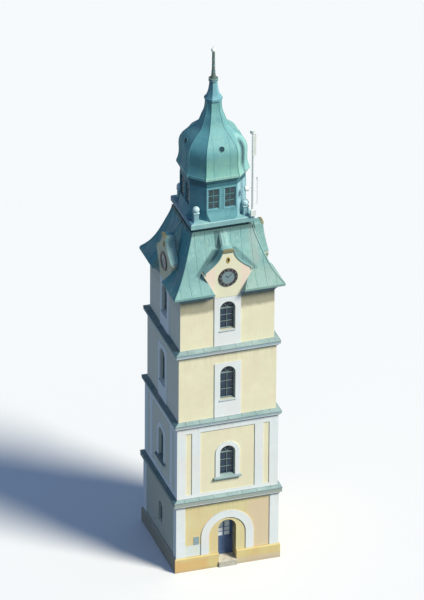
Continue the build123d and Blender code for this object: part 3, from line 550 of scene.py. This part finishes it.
def newPiece(name, bm, slot, body=towerBody, smooth=False, material=None):
    # a bmesh as a named piece that rides on a body
    piece = meshObject(name, bm)
    if smooth:
        piece.data.shade_smooth()
    piece.data.materials.append(material or materials[slot])
    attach(piece, body)
    return piece


def linked(verts, kind):
    # the edges or faces at some vertices, each once
    return list(dict.fromkeys(item for vert in verts for item in getattr(vert, kind)))


def addBar(bm, low, high, bevel=0.0, matrix=None):
    # a box between two corners, turned by a matrix, with its edges eased
    size = Vector(high) - Vector(low)
    middle = (Vector(high) + Vector(low)) / 2
    made = bmesh.ops.create_cube(bm, size=1.0)["verts"]
    bmesh.ops.scale(bm, vec=size, verts=made)
    bmesh.ops.translate(bm, vec=middle, verts=made)
    if matrix is not None:
        bmesh.ops.transform(bm, matrix=matrix, verts=made)
    if bevel:
        bmesh.ops.bevel(bm, geom=linked(made, "link_edges"), offset=bevel, segments=2, profile=0.5,
                        affect="EDGES", material=-1)


def addRing(bm, matrix, radius, tube, steps=32, sides=8):
    # a round roll bent into a ring in the XY plane, then placed by a matrix
    made = bmesh.ops.create_circle(
        bm, segments=sides, radius=tube,
        matrix=Matrix.Translation((radius, 0, 0)) @ Matrix.Rotation(pi / 2, 4, "X"))["verts"]
    before = set(bm.verts)
    bmesh.ops.spin(
        bm, geom=made + linked(made, "link_edges"), cent=(0, 0, 0), axis=(0, 0, 1), angle=2 * pi,
        steps=steps, use_merge=True)
    fresh = made + [vert for vert in bm.verts if vert not in before]
    bmesh.ops.recalc_face_normals(bm, faces=linked(fresh, "link_faces"))
    bmesh.ops.transform(bm, matrix=matrix, verts=fresh)


def addDisc(bm, matrix, radius, thickness, segments=32):
    # a flat round plate about the origin in the XY plane, then placed by a matrix
    made = bmesh.ops.create_cone(
        bm, cap_ends=True, segments=segments, radius1=radius, radius2=radius, depth=thickness)["verts"]
    bmesh.ops.transform(bm, matrix=matrix, verts=made)


def sideTurn(side):
    # 0 front, 1 right, 2 back, 3 left
    return Matrix.Rotation(side * pi / 2, 4, "Z")


def repeatSides(bm, sides=(1, 2, 3)):
    # the front's geometry copied to the other sides
    front = bm.verts[:] + bm.edges[:] + bm.faces[:]
    for side in sides:
        copy = bmesh.ops.duplicate(bm, geom=front)["geom"]
        verts = [item for item in copy if isinstance(item, bmesh.types.BMVert)]
        bmesh.ops.transform(bm, matrix=sideTurn(side), verts=verts)


trees = {}


def surfacePoint(name, origin, direction):
    # where a ray first meets a node
    if name not in trees:
        bm = bmesh.new()
        bm.from_mesh(nodes[name].data)
        trees[name] = BVHTree.FromBMesh(bm)
        bm.free()
    return trees[name].ray_cast(Vector(origin), Vector(direction).normalized())[0]


def rollAlong(bm, paths, radius, closed=False, resolution=2):
    # round copper rolls along paths of points, drawn as bevelled curves and added to bm
    curve = bpy.data.curves.new("rollPath", "CURVE")
    curve.dimensions = "3D"
    curve.bevel_depth = radius
    curve.bevel_resolution = resolution
    curve.use_fill_caps = True
    for path in paths:
        spline = curve.splines.new("POLY")
        spline.points.add(len(path) - 1)
        for point, place in zip(spline.points, path):
            point.co = (*place, 1.0)
        spline.use_cyclic_u = closed
    holder = addObject("rollPath", curve)
    made = bpy.data.meshes.new_from_object(holder)
    bm.from_mesh(made)
    bpy.data.objects.remove(holder)
    bpy.data.curves.remove(curve)
    bpy.data.meshes.remove(made)


def spread(low, high, count):
    return [low + (high - low) * i / (count - 1) for i in range(count)]


def halvesOf(name, levels):
    # the half width of a node that is square in plan, read on its front left hip at each level
    halves = []
    for z in levels:
        hit = surfacePoint(name, (-8, -8, z), (1, 1, 0))
        halves.append(-hit.y if hit else None)
    return halves


def facePaths(name, across, levels, halves, reach, inwards, limit):
    # upward paths over the front face, one for each x, broken where the surface leaves its half width
    # and kept within the limit
    paths = []
    for x in across:
        path = []
        for z, half in zip(levels, halves):
            hit = surfacePoint(name, (x, -10, z), (0, 1, 0)) if half and abs(x) < half - 0.04 else None
            if hit and abs(hit.y + half) < reach:
                path.append(Vector((hit.x, max(hit.y + inwards, -limit), hit.z)))
            else:
                if len(path) > 2:
                    paths.append(path)
                path = []
        if len(path) > 2:
            paths.append(path)
    return paths


# Skirt roof: rolls up each face, hip rolls, a roll on each saddle and a drip fold under the eaves
roof = {
    "rollRadius": 0.018, "hipRadius": 0.042, "hipSink": 0.012, "spacing": 0.52, "first": 0.42, "count": 5,
    "sink": 0.004, "levels": 60, "end": 0.01, "faceReach": 0.03, "ridge": (-2.09, -1.6), "ridgeSteps": 14,
    "dripStart": 0.95, "dripDepth": 0.03, "dripThickness": 0.012, "dripInset": 0.012, "ease": 0.003,
}
roofLow = boxHeight("skirt_roof", False)
roofHigh = boxHeight("gallery_floor", False)
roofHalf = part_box("skirt_roof")[1][0]
roofLevels = spread(roofLow + roof["end"], roofHigh - roof["end"], roof["levels"])
roofHalves = halvesOf("skirt_roof", roofLevels)
places = [roof["first"] + roof["spacing"] * i for i in range(roof["count"])]
places = [-x for x in places] + places
bm = bmesh.new()
seamLimit = roofHalf - roof["rollRadius"] - 0.001        # 1 mm inside the roof's own box
seamPaths = facePaths("skirt_roof", places, roofLevels, roofHalves, roof["faceReach"], roof["sink"], seamLimit)
rollAlong(bm, seamPaths, roof["rollRadius"])
ridge = []
for y in spread(*roof["ridge"], roof["ridgeSteps"]):
    hit = surfacePoint("skirt_roof", (0, y, 25), (0, 0, -1))
    if hit:
        ridge.append(hit)
rollAlong(bm, [ridge], roof["rollRadius"])
dripTop = roofLow + 0.004
dripFace = roofHalf - roof["dripInset"]
for sign in (-1, 1):
    x0, x1 = sorted((sign * roof["dripStart"], sign * dripFace))
    addBar(bm, (x0, -dripFace, dripTop - roof["dripDepth"]),
           (x1, -dripFace + roof["dripThickness"], dripTop), roof["ease"])
repeatSides(bm)
hipLimit = roofHalf - roof["hipRadius"] - 0.002
hips = []
for side in range(4):
    path = []
    for z, half in zip(roofLevels, roofHalves):
        reach = min(half - roof["hipSink"], hipLimit)
        path.append(sideTurn(side) @ Vector((-reach, -reach, z)))
    hips.append(path)
rollAlong(bm, hips, roof["hipRadius"], resolution=3)
newPiece("roof_rolls", bm, "copper", smooth=True)
print("roof rolls made")

# Bell dome: hip rolls on the eight edges, a seam each side of the middle of the faces, laps across them
dome = {
    "hipRadius": 0.018, "rollRadius": 0.011, "lapRadius": 0.006, "faceSeam": 0.42,
    "laps": (22.4, 23.05, 23.62, 24.3), "levels": 60, "seamTop": 23.7, "seamLevels": 40, "end": 0.02,
    "cornerX": 0.790,
}
domeLow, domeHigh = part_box("dome")
domeLevels = spread(domeLow[2] + dome["end"], domeHigh[2] - dome["end"], dome["levels"])
lanternLow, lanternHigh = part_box("lantern_walls")
cornerTurn = atan2(dome["cornerX"], lanternHigh[0])
cornerTurns = [side * pi / 2 + sign * cornerTurn for side in range(4) for sign in (-1, 1)]


def ringPoints(name, z, turns):
    # hits on the node at one height, one for each direction round the axis
    hits = []
    for turn in turns:
        outward = Vector((sin(turn), -cos(turn), 0))
        hits.append(surfacePoint(name, outward * 8 + Vector((0, 0, z)), -outward))
    return hits


bm = bmesh.new()
domeHips = [[] for turn in cornerTurns]
for z in domeLevels:
    for path, hit in zip(domeHips, ringPoints("dome", z, cornerTurns)):
        if hit is not None:
            path.append(hit)
rollAlong(bm, domeHips, dome["hipRadius"], resolution=3)
for z in dome["laps"]:
    rollAlong(bm, [ringPoints("dome", z, cornerTurns)], dome["lapRadius"], closed=True)
newPiece("dome_rolls", bm, "copper", smooth=True, material=domeCopper)
bm = bmesh.new()
seamLevels = spread(domeLow[2] + dome["end"], dome["seamTop"], dome["seamLevels"])
seamPaths = []
for x in (-dome["faceSeam"], dome["faceSeam"]):
    hits = [surfacePoint("dome", (x, -10, z), (0, 1, 0)) for z in seamLevels]
    seamPaths.append([hit for hit in hits if hit is not None])
rollAlong(bm, seamPaths, dome["rollRadius"])
repeatSides(bm)
newPiece("dome_seams", bm, "copper", smooth=True, material=domeCopper)
print("dome seams made")

# Vents of the dome: a rolled rim round a dark plate, with slats across it; plate and slats are painted shade
# of an open hole
vents = {
    "height": 23.2, "radius": 0.145, "tube": 0.014, "slats": 5, "slatDepth": 0.012, "slatThickness": 0.005,
    "slatEnd": 0.004, "lean": 25, "plate": 0.008, "rimProud": 0.008, "plateProud": 0.012, "slatProud": 0.018,
    "probeX": 0.16, "probeRise": 0.12,
}
high, low = (
    surfacePoint("dome", (vents["probeX"], -10, vents["height"] + rise), (0, 1, 0))
    for rise in (vents["probeRise"], -vents["probeRise"]))
slope = atan2(high.y - low.y, high.z - low.z)
ventPlace = Matrix.Translation((0, (high.y + low.y) / 2, vents["height"]))
ventPlace = ventPlace @ Matrix.Rotation(pi / 2 - slope, 4, "X")
rims = bmesh.new()
addRing(rims, ventPlace @ Matrix.Translation((0, 0, vents["rimProud"])), vents["radius"], vents["tube"])
repeatSides(rims)
newPiece("vent_rims", rims, "copper", smooth=True, material=domeCopper)
slats = bmesh.new()
addDisc(slats, ventPlace @ Matrix.Translation((0, 0, vents["plateProud"])), vents["radius"], vents["plate"])
for i in range(vents["slats"]):
    offset = vents["radius"] * (2 * (i + 0.5) / vents["slats"] - 1)
    half = (vents["radius"] ** 2 - offset ** 2) ** 0.5 - vents["slatEnd"]
    place = ventPlace @ Matrix.Translation((0, offset, vents["slatProud"]))
    addBar(slats, (-half, -vents["slatDepth"], 0), (half, vents["slatDepth"], vents["slatThickness"]),
           matrix=place @ Matrix.Rotation(radians(vents["lean"]), 4, "X"))
repeatSides(slats)
# plate and slats painted dark: painted shade of the hole behind the vent
ventHoleShade = paintMaterial("ventHoleShadePaint", "#163c45", "#20505a", 0.85, 20, 0.4, (1, 1, 1), 0.5)
newPiece("vent_slats", slats, "black_iron", material=ventHoleShade)

# Window bars: a mullion, two crossbars and two spokes in each round head
window = {
    "bar": 0.026, "depth": 0.045, "recess": 0.110, "frameFace": 0.015, "half": 0.405, "sash": 0.065,
    "setBack": 0.004, "spokes": (60, 120), "ease": 0.005,
    "storeys": [
        {"wall": "first_storey_front_wall", "sill": 5.2, "springing": 6.545},
        {"wall": "second_storey_front_wall", "sill": 9.62, "springing": 11.105},
        {"wall": "third_storey_front_wall", "sill": 13.56, "springing": 14.765},
    ],
}
bm = bmesh.new()
for storey in window["storeys"]:
    y0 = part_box(storey["wall"])[0][1] + window["recess"] + window["frameFace"]
    y1 = y0 + window["depth"]
    bar = window["bar"] / 2
    foot = storey["sill"] + window["sash"]
    head = storey["springing"] - window["sash"]
    inner = window["half"] - window["sash"]
    addBar(bm, (-bar, y0, foot), (bar, y1, head), window["ease"])
    for step in (1, 2):
        z = foot + (head - foot) * step / 3
        addBar(bm, (-inner, y0 + window["setBack"], z - bar),
               (inner, y1 - window["setBack"], z + bar), window["ease"])
    for angle in window["spokes"]:
        turn = Matrix.Rotation(radians(angle - 90), 4, "Y")
        place = Matrix.Translation((0, 0, storey["springing"]))
        addBar(bm, (-bar, y0, 0.0), (bar, y1, inner), window["ease"], place @ turn)
repeatSides(bm)
newPiece("window_bars", bm, "white_joinery")
print("window bars made")

# Lantern: bars in the windows, flat architraves round them and beads on the eight corners
lantern = {
    "bar": 0.022, "depth": 0.035, "inner": 0.130, "outer": 0.730, "foot": 19.90, "head": 21.04, "sash": 0.045,
    "forward": 0.006, "setBack": 0.003, "frame": 0.05, "proud": 0.014, "ease": 0.004, "beadRadius": 0.018,
    "wall": 0.12,
}
bm = bmesh.new()
mid = lanternLow[1] + lantern["wall"] / 2
for sign in (-1, 1):
    x0, x1 = sorted((sign * (lantern["inner"] + lantern["sash"]),
                     sign * (lantern["outer"] - lantern["sash"])))
    foot = lantern["foot"] + lantern["sash"]
    head = lantern["head"] - lantern["sash"]
    y0 = mid - lantern["depth"] / 2 - lantern["forward"]
    y1 = mid + lantern["depth"] / 2
    bar = lantern["bar"] / 2
    centre = (x0 + x1) / 2
    addBar(bm, (centre - bar, y0, foot), (centre + bar, y1, head), lantern["ease"])
    for step in (1, 2):
        z = foot + (head - foot) * step / 3
        addBar(bm, (x0, y0 + lantern["setBack"], z - bar),
               (x1, y1 - lantern["setBack"], z + bar), lantern["ease"])
repeatSides(bm)
newPiece("lantern_bars", bm, "copper", material=lanternCopper)
bm = bmesh.new()
wallFace = lanternLow[1]
wide = lantern["frame"]
y0, y1 = wallFace - lantern["proud"], wallFace + 0.002
for sign in (-1, 1):
    x0, x1 = sorted((sign * lantern["inner"], sign * lantern["outer"]))
    for z in (lantern["foot"] - wide, lantern["head"]):
        addBar(bm, (x0 - wide, y0, z), (x1 + wide, y1, z + wide), lantern["ease"])
    for left, right in ((x0 - wide, x0), (x1, x1 + wide)):
        addBar(bm, (left, y0 + 0.001, lantern["foot"]), (right, y1, lantern["head"]), lantern["ease"])
repeatSides(bm)
beads = []
for turn in cornerTurns:
    hits = [ringPoints("lantern_walls", z, [turn])[0] for z in (lanternLow[2] + 0.01, lanternHigh[2] - 0.01)]
    beads.append([hit for hit in hits if hit is not None])
rollAlong(bm, beads, lantern["beadRadius"])
newPiece("lantern_trim", bm, "copper", material=spireCopper)
print("lantern trim made")

# Clock: hour marks on the dark ring and a fine track round the dial
clock = {
    "height": 16.57, "from": 0.385, "to": 0.465, "width": 0.024, "quarterWidth": 0.036, "proud": 0.005,
    "ease": 0.002, "trackRadius": 0.318, "trackTube": 0.006,
}
bm = bmesh.new()
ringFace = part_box("clock_rings")[0][1]
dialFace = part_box("clock_dials")[0][1]
for hour in range(12):
    wide = clock["quarterWidth" if hour % 3 == 0 else "width"] / 2
    place = Matrix.Translation((0, ringFace, clock["height"])) @ Matrix.Rotation(hour * pi / 6, 4, "Y")
    addBar(bm, (-wide, -clock["proud"], clock["from"]),
           (wide, clock["proud"], clock["to"]), clock["ease"], place)
facingFront = Matrix.Rotation(pi / 2, 4, "X")
addRing(bm, Matrix.Translation((0, dialFace, clock["height"])) @ facingFront,
        clock["trackRadius"], clock["trackTube"], 48, 6)
repeatSides(bm)
dullBrass = paintMaterial("dullBrassPaint", "#8d8f84", "#5f6460", 0.45, 10, 0.3, (1, 1, 1), 0.5)
newPiece("clock_marks", bm, "pale_metal", material=dullBrass)

# Gables: a rounded cap on each crown, and a rim with a dark plate in each oval
gable = {
    "crown": 17.98, "capHalf": 0.31, "capRise": 0.12, "capFront": -2.60, "capBack": -2.47, "capSink": 0.05,
    "capFoot": 0.02, "capEase": 0.008, "sharpTurn": 0.6, "oval": 17.53, "ovalX": 0.08, "ovalZ": 0.14,
    "rim": 0.024, "plateDepth": 0.05, "plate": 0.01, "plateRatio": 0.98,
}
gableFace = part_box("clock_gables")[0][1]
bm = bmesh.new()
capLength = gable["capBack"] - gable["capFront"]
capPlace = Matrix.Translation((0, gable["capFront"] + capLength / 2, 0)) @ facingFront
addDisc(bm, capPlace, 1.0, capLength, 40)
bmesh.ops.scale(bm, vec=(gable["capHalf"], 1, gable["capRise"]), verts=bm.verts[:])
bmesh.ops.translate(bm, vec=(0, 0, gable["crown"] + gable["capSink"]), verts=bm.verts[:])
cut = bmesh.ops.bisect_plane(
    bm, geom=bm.verts[:] + bm.edges[:] + bm.faces[:], clear_inner=True,
    plane_co=(0, 0, gable["crown"] + gable["capFoot"]), plane_no=(0, 0, 1))
rimEdges = [item for item in cut["geom_cut"] if isinstance(item, bmesh.types.BMEdge)]
bmesh.ops.contextual_create(bm, geom=rimEdges)
sharp = [edge for edge in bm.edges if edge.calc_face_angle(0) > gable["sharpTurn"]]
bmesh.ops.bevel(bm, geom=sharp, offset=gable["capEase"], segments=2, profile=0.5, affect="EDGES", material=-1)
repeatSides(bm)
capCopper = copperMaterial("oliveCopper", "#7b7652", "#8e916f", "#5f5c3f", "#75664a", 0.4, 0.4)
newPiece("gable_caps", bm, "copper", material=capCopper)
bm = bmesh.new()
ovalPlace = Matrix.Translation((0, gableFace, gable["oval"]))
ovalShape = Matrix.Diagonal((gable["ovalX"], 1, gable["ovalZ"], 1))
addRing(bm, Matrix.Identity(4), 1.0, gable["rim"] / gable["ovalX"], 32, 8)
bmesh.ops.scale(bm, vec=(1, 1, gable["ovalX"]), verts=bm.verts[:])
bmesh.ops.transform(bm, matrix=ovalPlace @ ovalShape @ facingFront, verts=bm.verts[:])
repeatSides(bm)
ochreTrim = limeRenderMaterial("limewashOchreTrim", "#b3984f", "#7f6a34", 0.5)
newPiece("oval_rims", bm, "ochre_render", smooth=True, material=ochreTrim)
bm = bmesh.new()
plate = Matrix.Translation((0, gableFace + gable["plateDepth"], gable["oval"]))
addDisc(bm, plate @ ovalShape @ facingFront, gable["plateRatio"], gable["plate"], 32)
repeatSides(bm)
newPiece("oval_plates", bm, "black_iron", material=capCopper)
print("clock and gable trim made")

# Copper flashings: upstand seams across the slopes, and a roll along each outer edge
flashing = {
    "spacing": 0.93, "endGap": 0.35, "width": 0.016, "rise": 0.016, "sink": 0.004, "ease": 0.003,
    "rollRadius": 0.014, "rollProud": 0.3, "overhang": 0.012, "sheet": 0.010, "edgeIn": 0.004,
    "probeX": 0.11, "short": 0.01,
}
bm = bmesh.new()
for course, wall in (("lower_string_course", "first_storey_front_wall"),
                     ("middle_string_course", "second_storey_front_wall"),
                     ("upper_string_course", "third_storey_front_wall")):
    outer = -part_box(course)[0][1] + flashing["overhang"]
    inner = -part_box(wall)[0][1]
    top = boxHeight(course) + flashing["sheet"]
    edgeLine = outer - flashing["edgeIn"]
    edge = surfacePoint("string_flashings", (flashing["probeX"], -edgeLine, top + 0.05), (0, 0, -1))
    lean = atan2(top - edge.z, edgeLine - inner)
    length = ((top - edge.z) ** 2 + (outer - inner) ** 2) ** 0.5 - flashing["short"]
    count = int(2 * outer / flashing["spacing"]) + 1
    for x in spread(flashing["endGap"] - inner, inner - flashing["endGap"], count):
        half = flashing["width"] / 2
        place = Matrix.Translation((x, -outer, edge.z)) @ Matrix.Rotation(lean, 4, "X")
        addBar(bm, (-half, 0, -flashing["sink"]), (half, length, flashing["rise"]), flashing["ease"], place)
    edgeRoll = outer - flashing["rollRadius"] * flashing["rollProud"]
    path = [(-edgeRoll, -edgeRoll, edge.z), (edgeRoll, -edgeRoll, edge.z)]
    rollAlong(bm, [path], flashing["rollRadius"])
repeatSides(bm)
newPiece("flashing_seams", bm, "flashing_copper")

# Gallery: a roll round its edge
gallery = {"rollRadius": 0.022, "drop": 0.05}
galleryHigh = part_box("gallery_floor")[1]
deck = galleryHigh[2]
bm = bmesh.new()
rollLine = galleryHigh[0] - gallery["rollRadius"]
rollLevel = deck - gallery["drop"]
path = [(-rollLine, -rollLine, rollLevel), (rollLine, -rollLine, rollLevel)]
rollAlong(bm, [path], gallery["rollRadius"])
repeatSides(bm)
newPiece("gallery_trim", bm, "copper", material=galleryCopper)

# Spire: rolls at the collars and bands on the needle
spire = {
    "tube": 0.022, "collars": (0.03, 0.13), "collarSink": 0.006, "bands": (0.51, 0.86, 1.21),
    "bandRatio": 0.6,
}
needleLow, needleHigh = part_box("spire_needle")
bm = bmesh.new()
collar = needleHigh[0] - spire["collarSink"]
for rise in spire["collars"]:
    addRing(bm, Matrix.Translation((0, 0, needleLow[2] + rise)), collar, spire["tube"])
for rise in spire["bands"]:
    z = needleLow[2] + rise
    hit = surfacePoint("spire_needle", (0, -5, z), (0, 1, 0))
    addRing(bm, Matrix.Translation((0, 0, z)), -hit.y, spire["tube"] * spire["bandRatio"], 24, 6)
newPiece("spire_rolls", bm, "copper", smooth=True, material=spireCopper)
print("flashings, gallery and spire trim made")

# Door: mouldings round the sunk panels, glazing bars, a kick plate and a lock plate
door = {
    "mould": 0.022, "proud": 0.010, "sunk": 0.019, "ease": 0.004, "bar": 0.022, "barFront": 0.008,
    "barBack": 0.03, "plateProud": 0.004, "plateSunk": 0.001, "kickHeight": 0.16, "kickEnd": 0.02,
    "plateWidth": 0.05, "plateReach": 0.20, "stile": 0.09, "midStile": 0.035, "panelFoot": 0.51,
    "panelHead": 1.25, "lightFoot": 1.38, "lightHead": 2.10, "handle": 1.33,
}
leafLow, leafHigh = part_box("entrance_door")
leafFront = leafLow[1]
leafHalf = leafHigh[0]
y0, y1 = leafFront - door["proud"], leafFront + door["sunk"]
bm = bmesh.new()
for sign in (-1, 1):
    x0, x1 = sorted((sign * door["midStile"], sign * (leafHalf - door["stile"])))
    for z in (door["panelFoot"], door["panelHead"] - door["mould"]):
        addBar(bm, (x0, y0, z), (x1, y1, z + door["mould"]), door["ease"])
    for left in (x0, x1 - door["mould"]):
        addBar(bm, (left, y0, door["panelFoot"]), (left + door["mould"], y1, door["panelHead"]), door["ease"])
    bar = door["bar"] / 2
    for z in spread(door["lightFoot"], door["lightHead"], 4)[1:3]:
        addBar(bm, (x0, leafFront + door["barFront"], z - bar),
               (x1, leafFront + door["barBack"], z + bar), door["ease"])
y0, y1 = leafFront - door["plateProud"], leafFront + door["plateSunk"]
addBar(bm, (door["kickEnd"] - leafHalf, y0, leafLow[2] + 0.01),
       (leafHalf - door["kickEnd"], y1, leafLow[2] + door["kickHeight"]), 0.001)
newPiece("door_mouldings", bm, "door_paint", doorBody)
bm = bmesh.new()
plateX = leafHalf - door["stile"] / 2
half = door["plateWidth"] / 2
addBar(bm, (plateX - half, y0, door["handle"] - door["plateReach"]),
       (plateX + half, y1, door["handle"] + door["plateReach"]), 0.002)
newPiece("door_lock_plate", bm, "black_iron", doorBody)

# Plaque left of the door: a bare plate with a raised border, on four studs
plaque = {
    "low": (-1.78, 1.45), "high": (-1.50, 1.90), "thickness": 0.018, "border": 0.02, "sunk": 0.005,
    "stud": 0.012, "studDepth": 0.006,
}
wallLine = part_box("ground_front_wall_left")[0][1]
bm = bmesh.new()
x0, z0 = plaque["low"]
x1, z1 = plaque["high"]
addBar(bm, (x0, wallLine - plaque["thickness"], z0), (x1, wallLine + 0.002, z1), 0.003)
front = max(bm.faces, key=lambda face: -face.calc_center_median().y)
bmesh.ops.inset_region(bm, faces=[front], thickness=plaque["border"], depth=0.0)
bmesh.ops.translate(bm, vec=(0, plaque["sunk"], 0), verts=list(front.verts))
studLine = wallLine - plaque["thickness"] - plaque["studDepth"] / 2
for x in (x0 + plaque["border"], x1 - plaque["border"]):
    for z in (z0 + plaque["border"], z1 - plaque["border"]):
        stud = Matrix.Translation((x, studLine, z)) @ facingFront
        addDisc(bm, stud, plaque["stud"] / 2, plaque["studDepth"], 12)
plaquePaint = paintMaterial("greyZincPaint", "#8fa5ac", "#74888f", 0.4, 20, 0.3, (1, 1, 1), 0.4)
newPiece("wall_plaque", bm, "pale_metal", material=plaquePaint)
print("door trim and plaque made")

# Mast: pairs of clamps on the pipe and bolts on the foot plate
mast = {
    "x": 1.56, "y": -1.56, "radius": 0.045, "tube": 0.012, "pair": 0.02,
    "clamps": (19.96, 20.70, 20.87, 22.88, 23.75),
    "boltOut": 0.065, "boltRise": 0.018, "boltRadius": 0.011, "boltHead": 0.014,
}
bm = bmesh.new()
for z in mast["clamps"]:
    for rise in (-mast["pair"], mast["pair"]):
        place = Matrix.Translation((mast["x"], mast["y"], z + rise))
        addRing(bm, place, mast["radius"], mast["tube"], 24, 6)
out = mast["boltOut"]
for x in (mast["x"] - out, mast["x"] + out):
    for y in (mast["y"] - out, mast["y"] + out):
        place = Matrix.Translation((x, y, deck + mast["boltRise"]))
        addDisc(bm, place, mast["boltRadius"], mast["boltHead"], 6)
newPiece("mast_fittings", bm, "galvanised_steel")
print("mast fittings made")

# Stage: a pale floor, a soft sun from the right front and an even sky
stage = {
    "floorColour": "#dfe0df", "bounceColour": "#66706a", "floorHalf": 900.0, "floorDrop": 0.002,
    "sunStrength": 4.8, "sunColour": "#fffaec", "sunAngle": 18.0, "sunFrom": (0.56, -0.60, 0.83),
    "skyColour": "#9fbff2", "skyStrength": 0.46,
}
bm = bmesh.new()
bmesh.ops.create_grid(bm, x_segments=1, y_segments=1, size=stage["floorHalf"])
bmesh.ops.translate(bm, vec=(0, 0, -stage["floorDrop"]), verts=bm.verts[:])
floor = meshObject("floor", bm)


def seenDirectly(tree):
    # 1 for what the camera sees straight, mirrored or through glass
    rays = addNode(tree, "rays")
    straight = addNode(tree, "MAXIMUM", rays["Is Camera Ray"], rays["Is Glossy Ray"])
    return addNode(tree, "MAXIMUM", straight, rays["Is Transmission Ray"])


# matt white screed, pale to the camera but lighting the tower from below as grey paving does
floorMaterial, tree, shader = newMaterial("paleFloor")
shade = addNode(
    tree, "blend", seenDirectly(tree), linear(stage["bounceColour"]), linear(stage["floorColour"]))
fillInputs(tree, shader, {"Base Color": shade, "Roughness": 1.0, "Specular IOR Level": 0.0})
floor.data.materials.append(floorMaterial)

sunData = bpy.data.lights.new("sun", "SUN")
sunData.energy = stage["sunStrength"]
sunData.color = linear(stage["sunColour"])[:3]
sunData.angle = radians(stage["sunAngle"])
sun = addObject("sun", sunData)
sun.rotation_euler = Vector(stage["sunFrom"]).to_track_quat("Z", "Y").to_euler()

world = bpy.data.worlds.new("studio")
world.use_nodes = True
bpy.context.scene.world = world
tree = world.node_tree
tree.nodes.clear()
sky = addNode(tree, "background", linear(stage["skyColour"]), stage["skyStrength"])
backdrop = addNode(tree, "background", (1, 1, 1, 1), 1.0)
addNode(tree, "worldOutput", addNode(tree, "mixedShader", seenDirectly(tree), sky, backdrop))

# Camera: the photograph's own station, with a longer lens so that the tower fills the frame
viewpoint = {
    "place": (-120.0, -363.9, 229.6), "aim": (0.0, 0.0, 13.9), "roll": 0.363,
    "focalPixels": 3300, "zoom": 2.66, "longSidePixels": 600, "sensorMm": 36.0,
}
cameraData = bpy.data.cameras.new("camera")
cameraData.sensor_width = viewpoint["sensorMm"]
focalRatio = viewpoint["focalPixels"] * viewpoint["zoom"] / viewpoint["longSidePixels"]
cameraData.lens = focalRatio * viewpoint["sensorMm"]
cameraData.clip_start = 10.0
cameraData.clip_end = 3000.0
camera = addObject("camera", cameraData)
camera.location = viewpoint["place"]
look = Vector(viewpoint["place"]) - Vector(viewpoint["aim"])
camera.rotation_mode = "QUATERNION"
camera.rotation_quaternion = look.to_track_quat("Z", "Y") @ Matrix.Rotation(
    radians(viewpoint["roll"]), 4, "Z").to_quaternion()
bpy.context.scene.camera = camera
bpy.context.scene.view_settings.view_transform = "Standard"
print("stage and camera set")
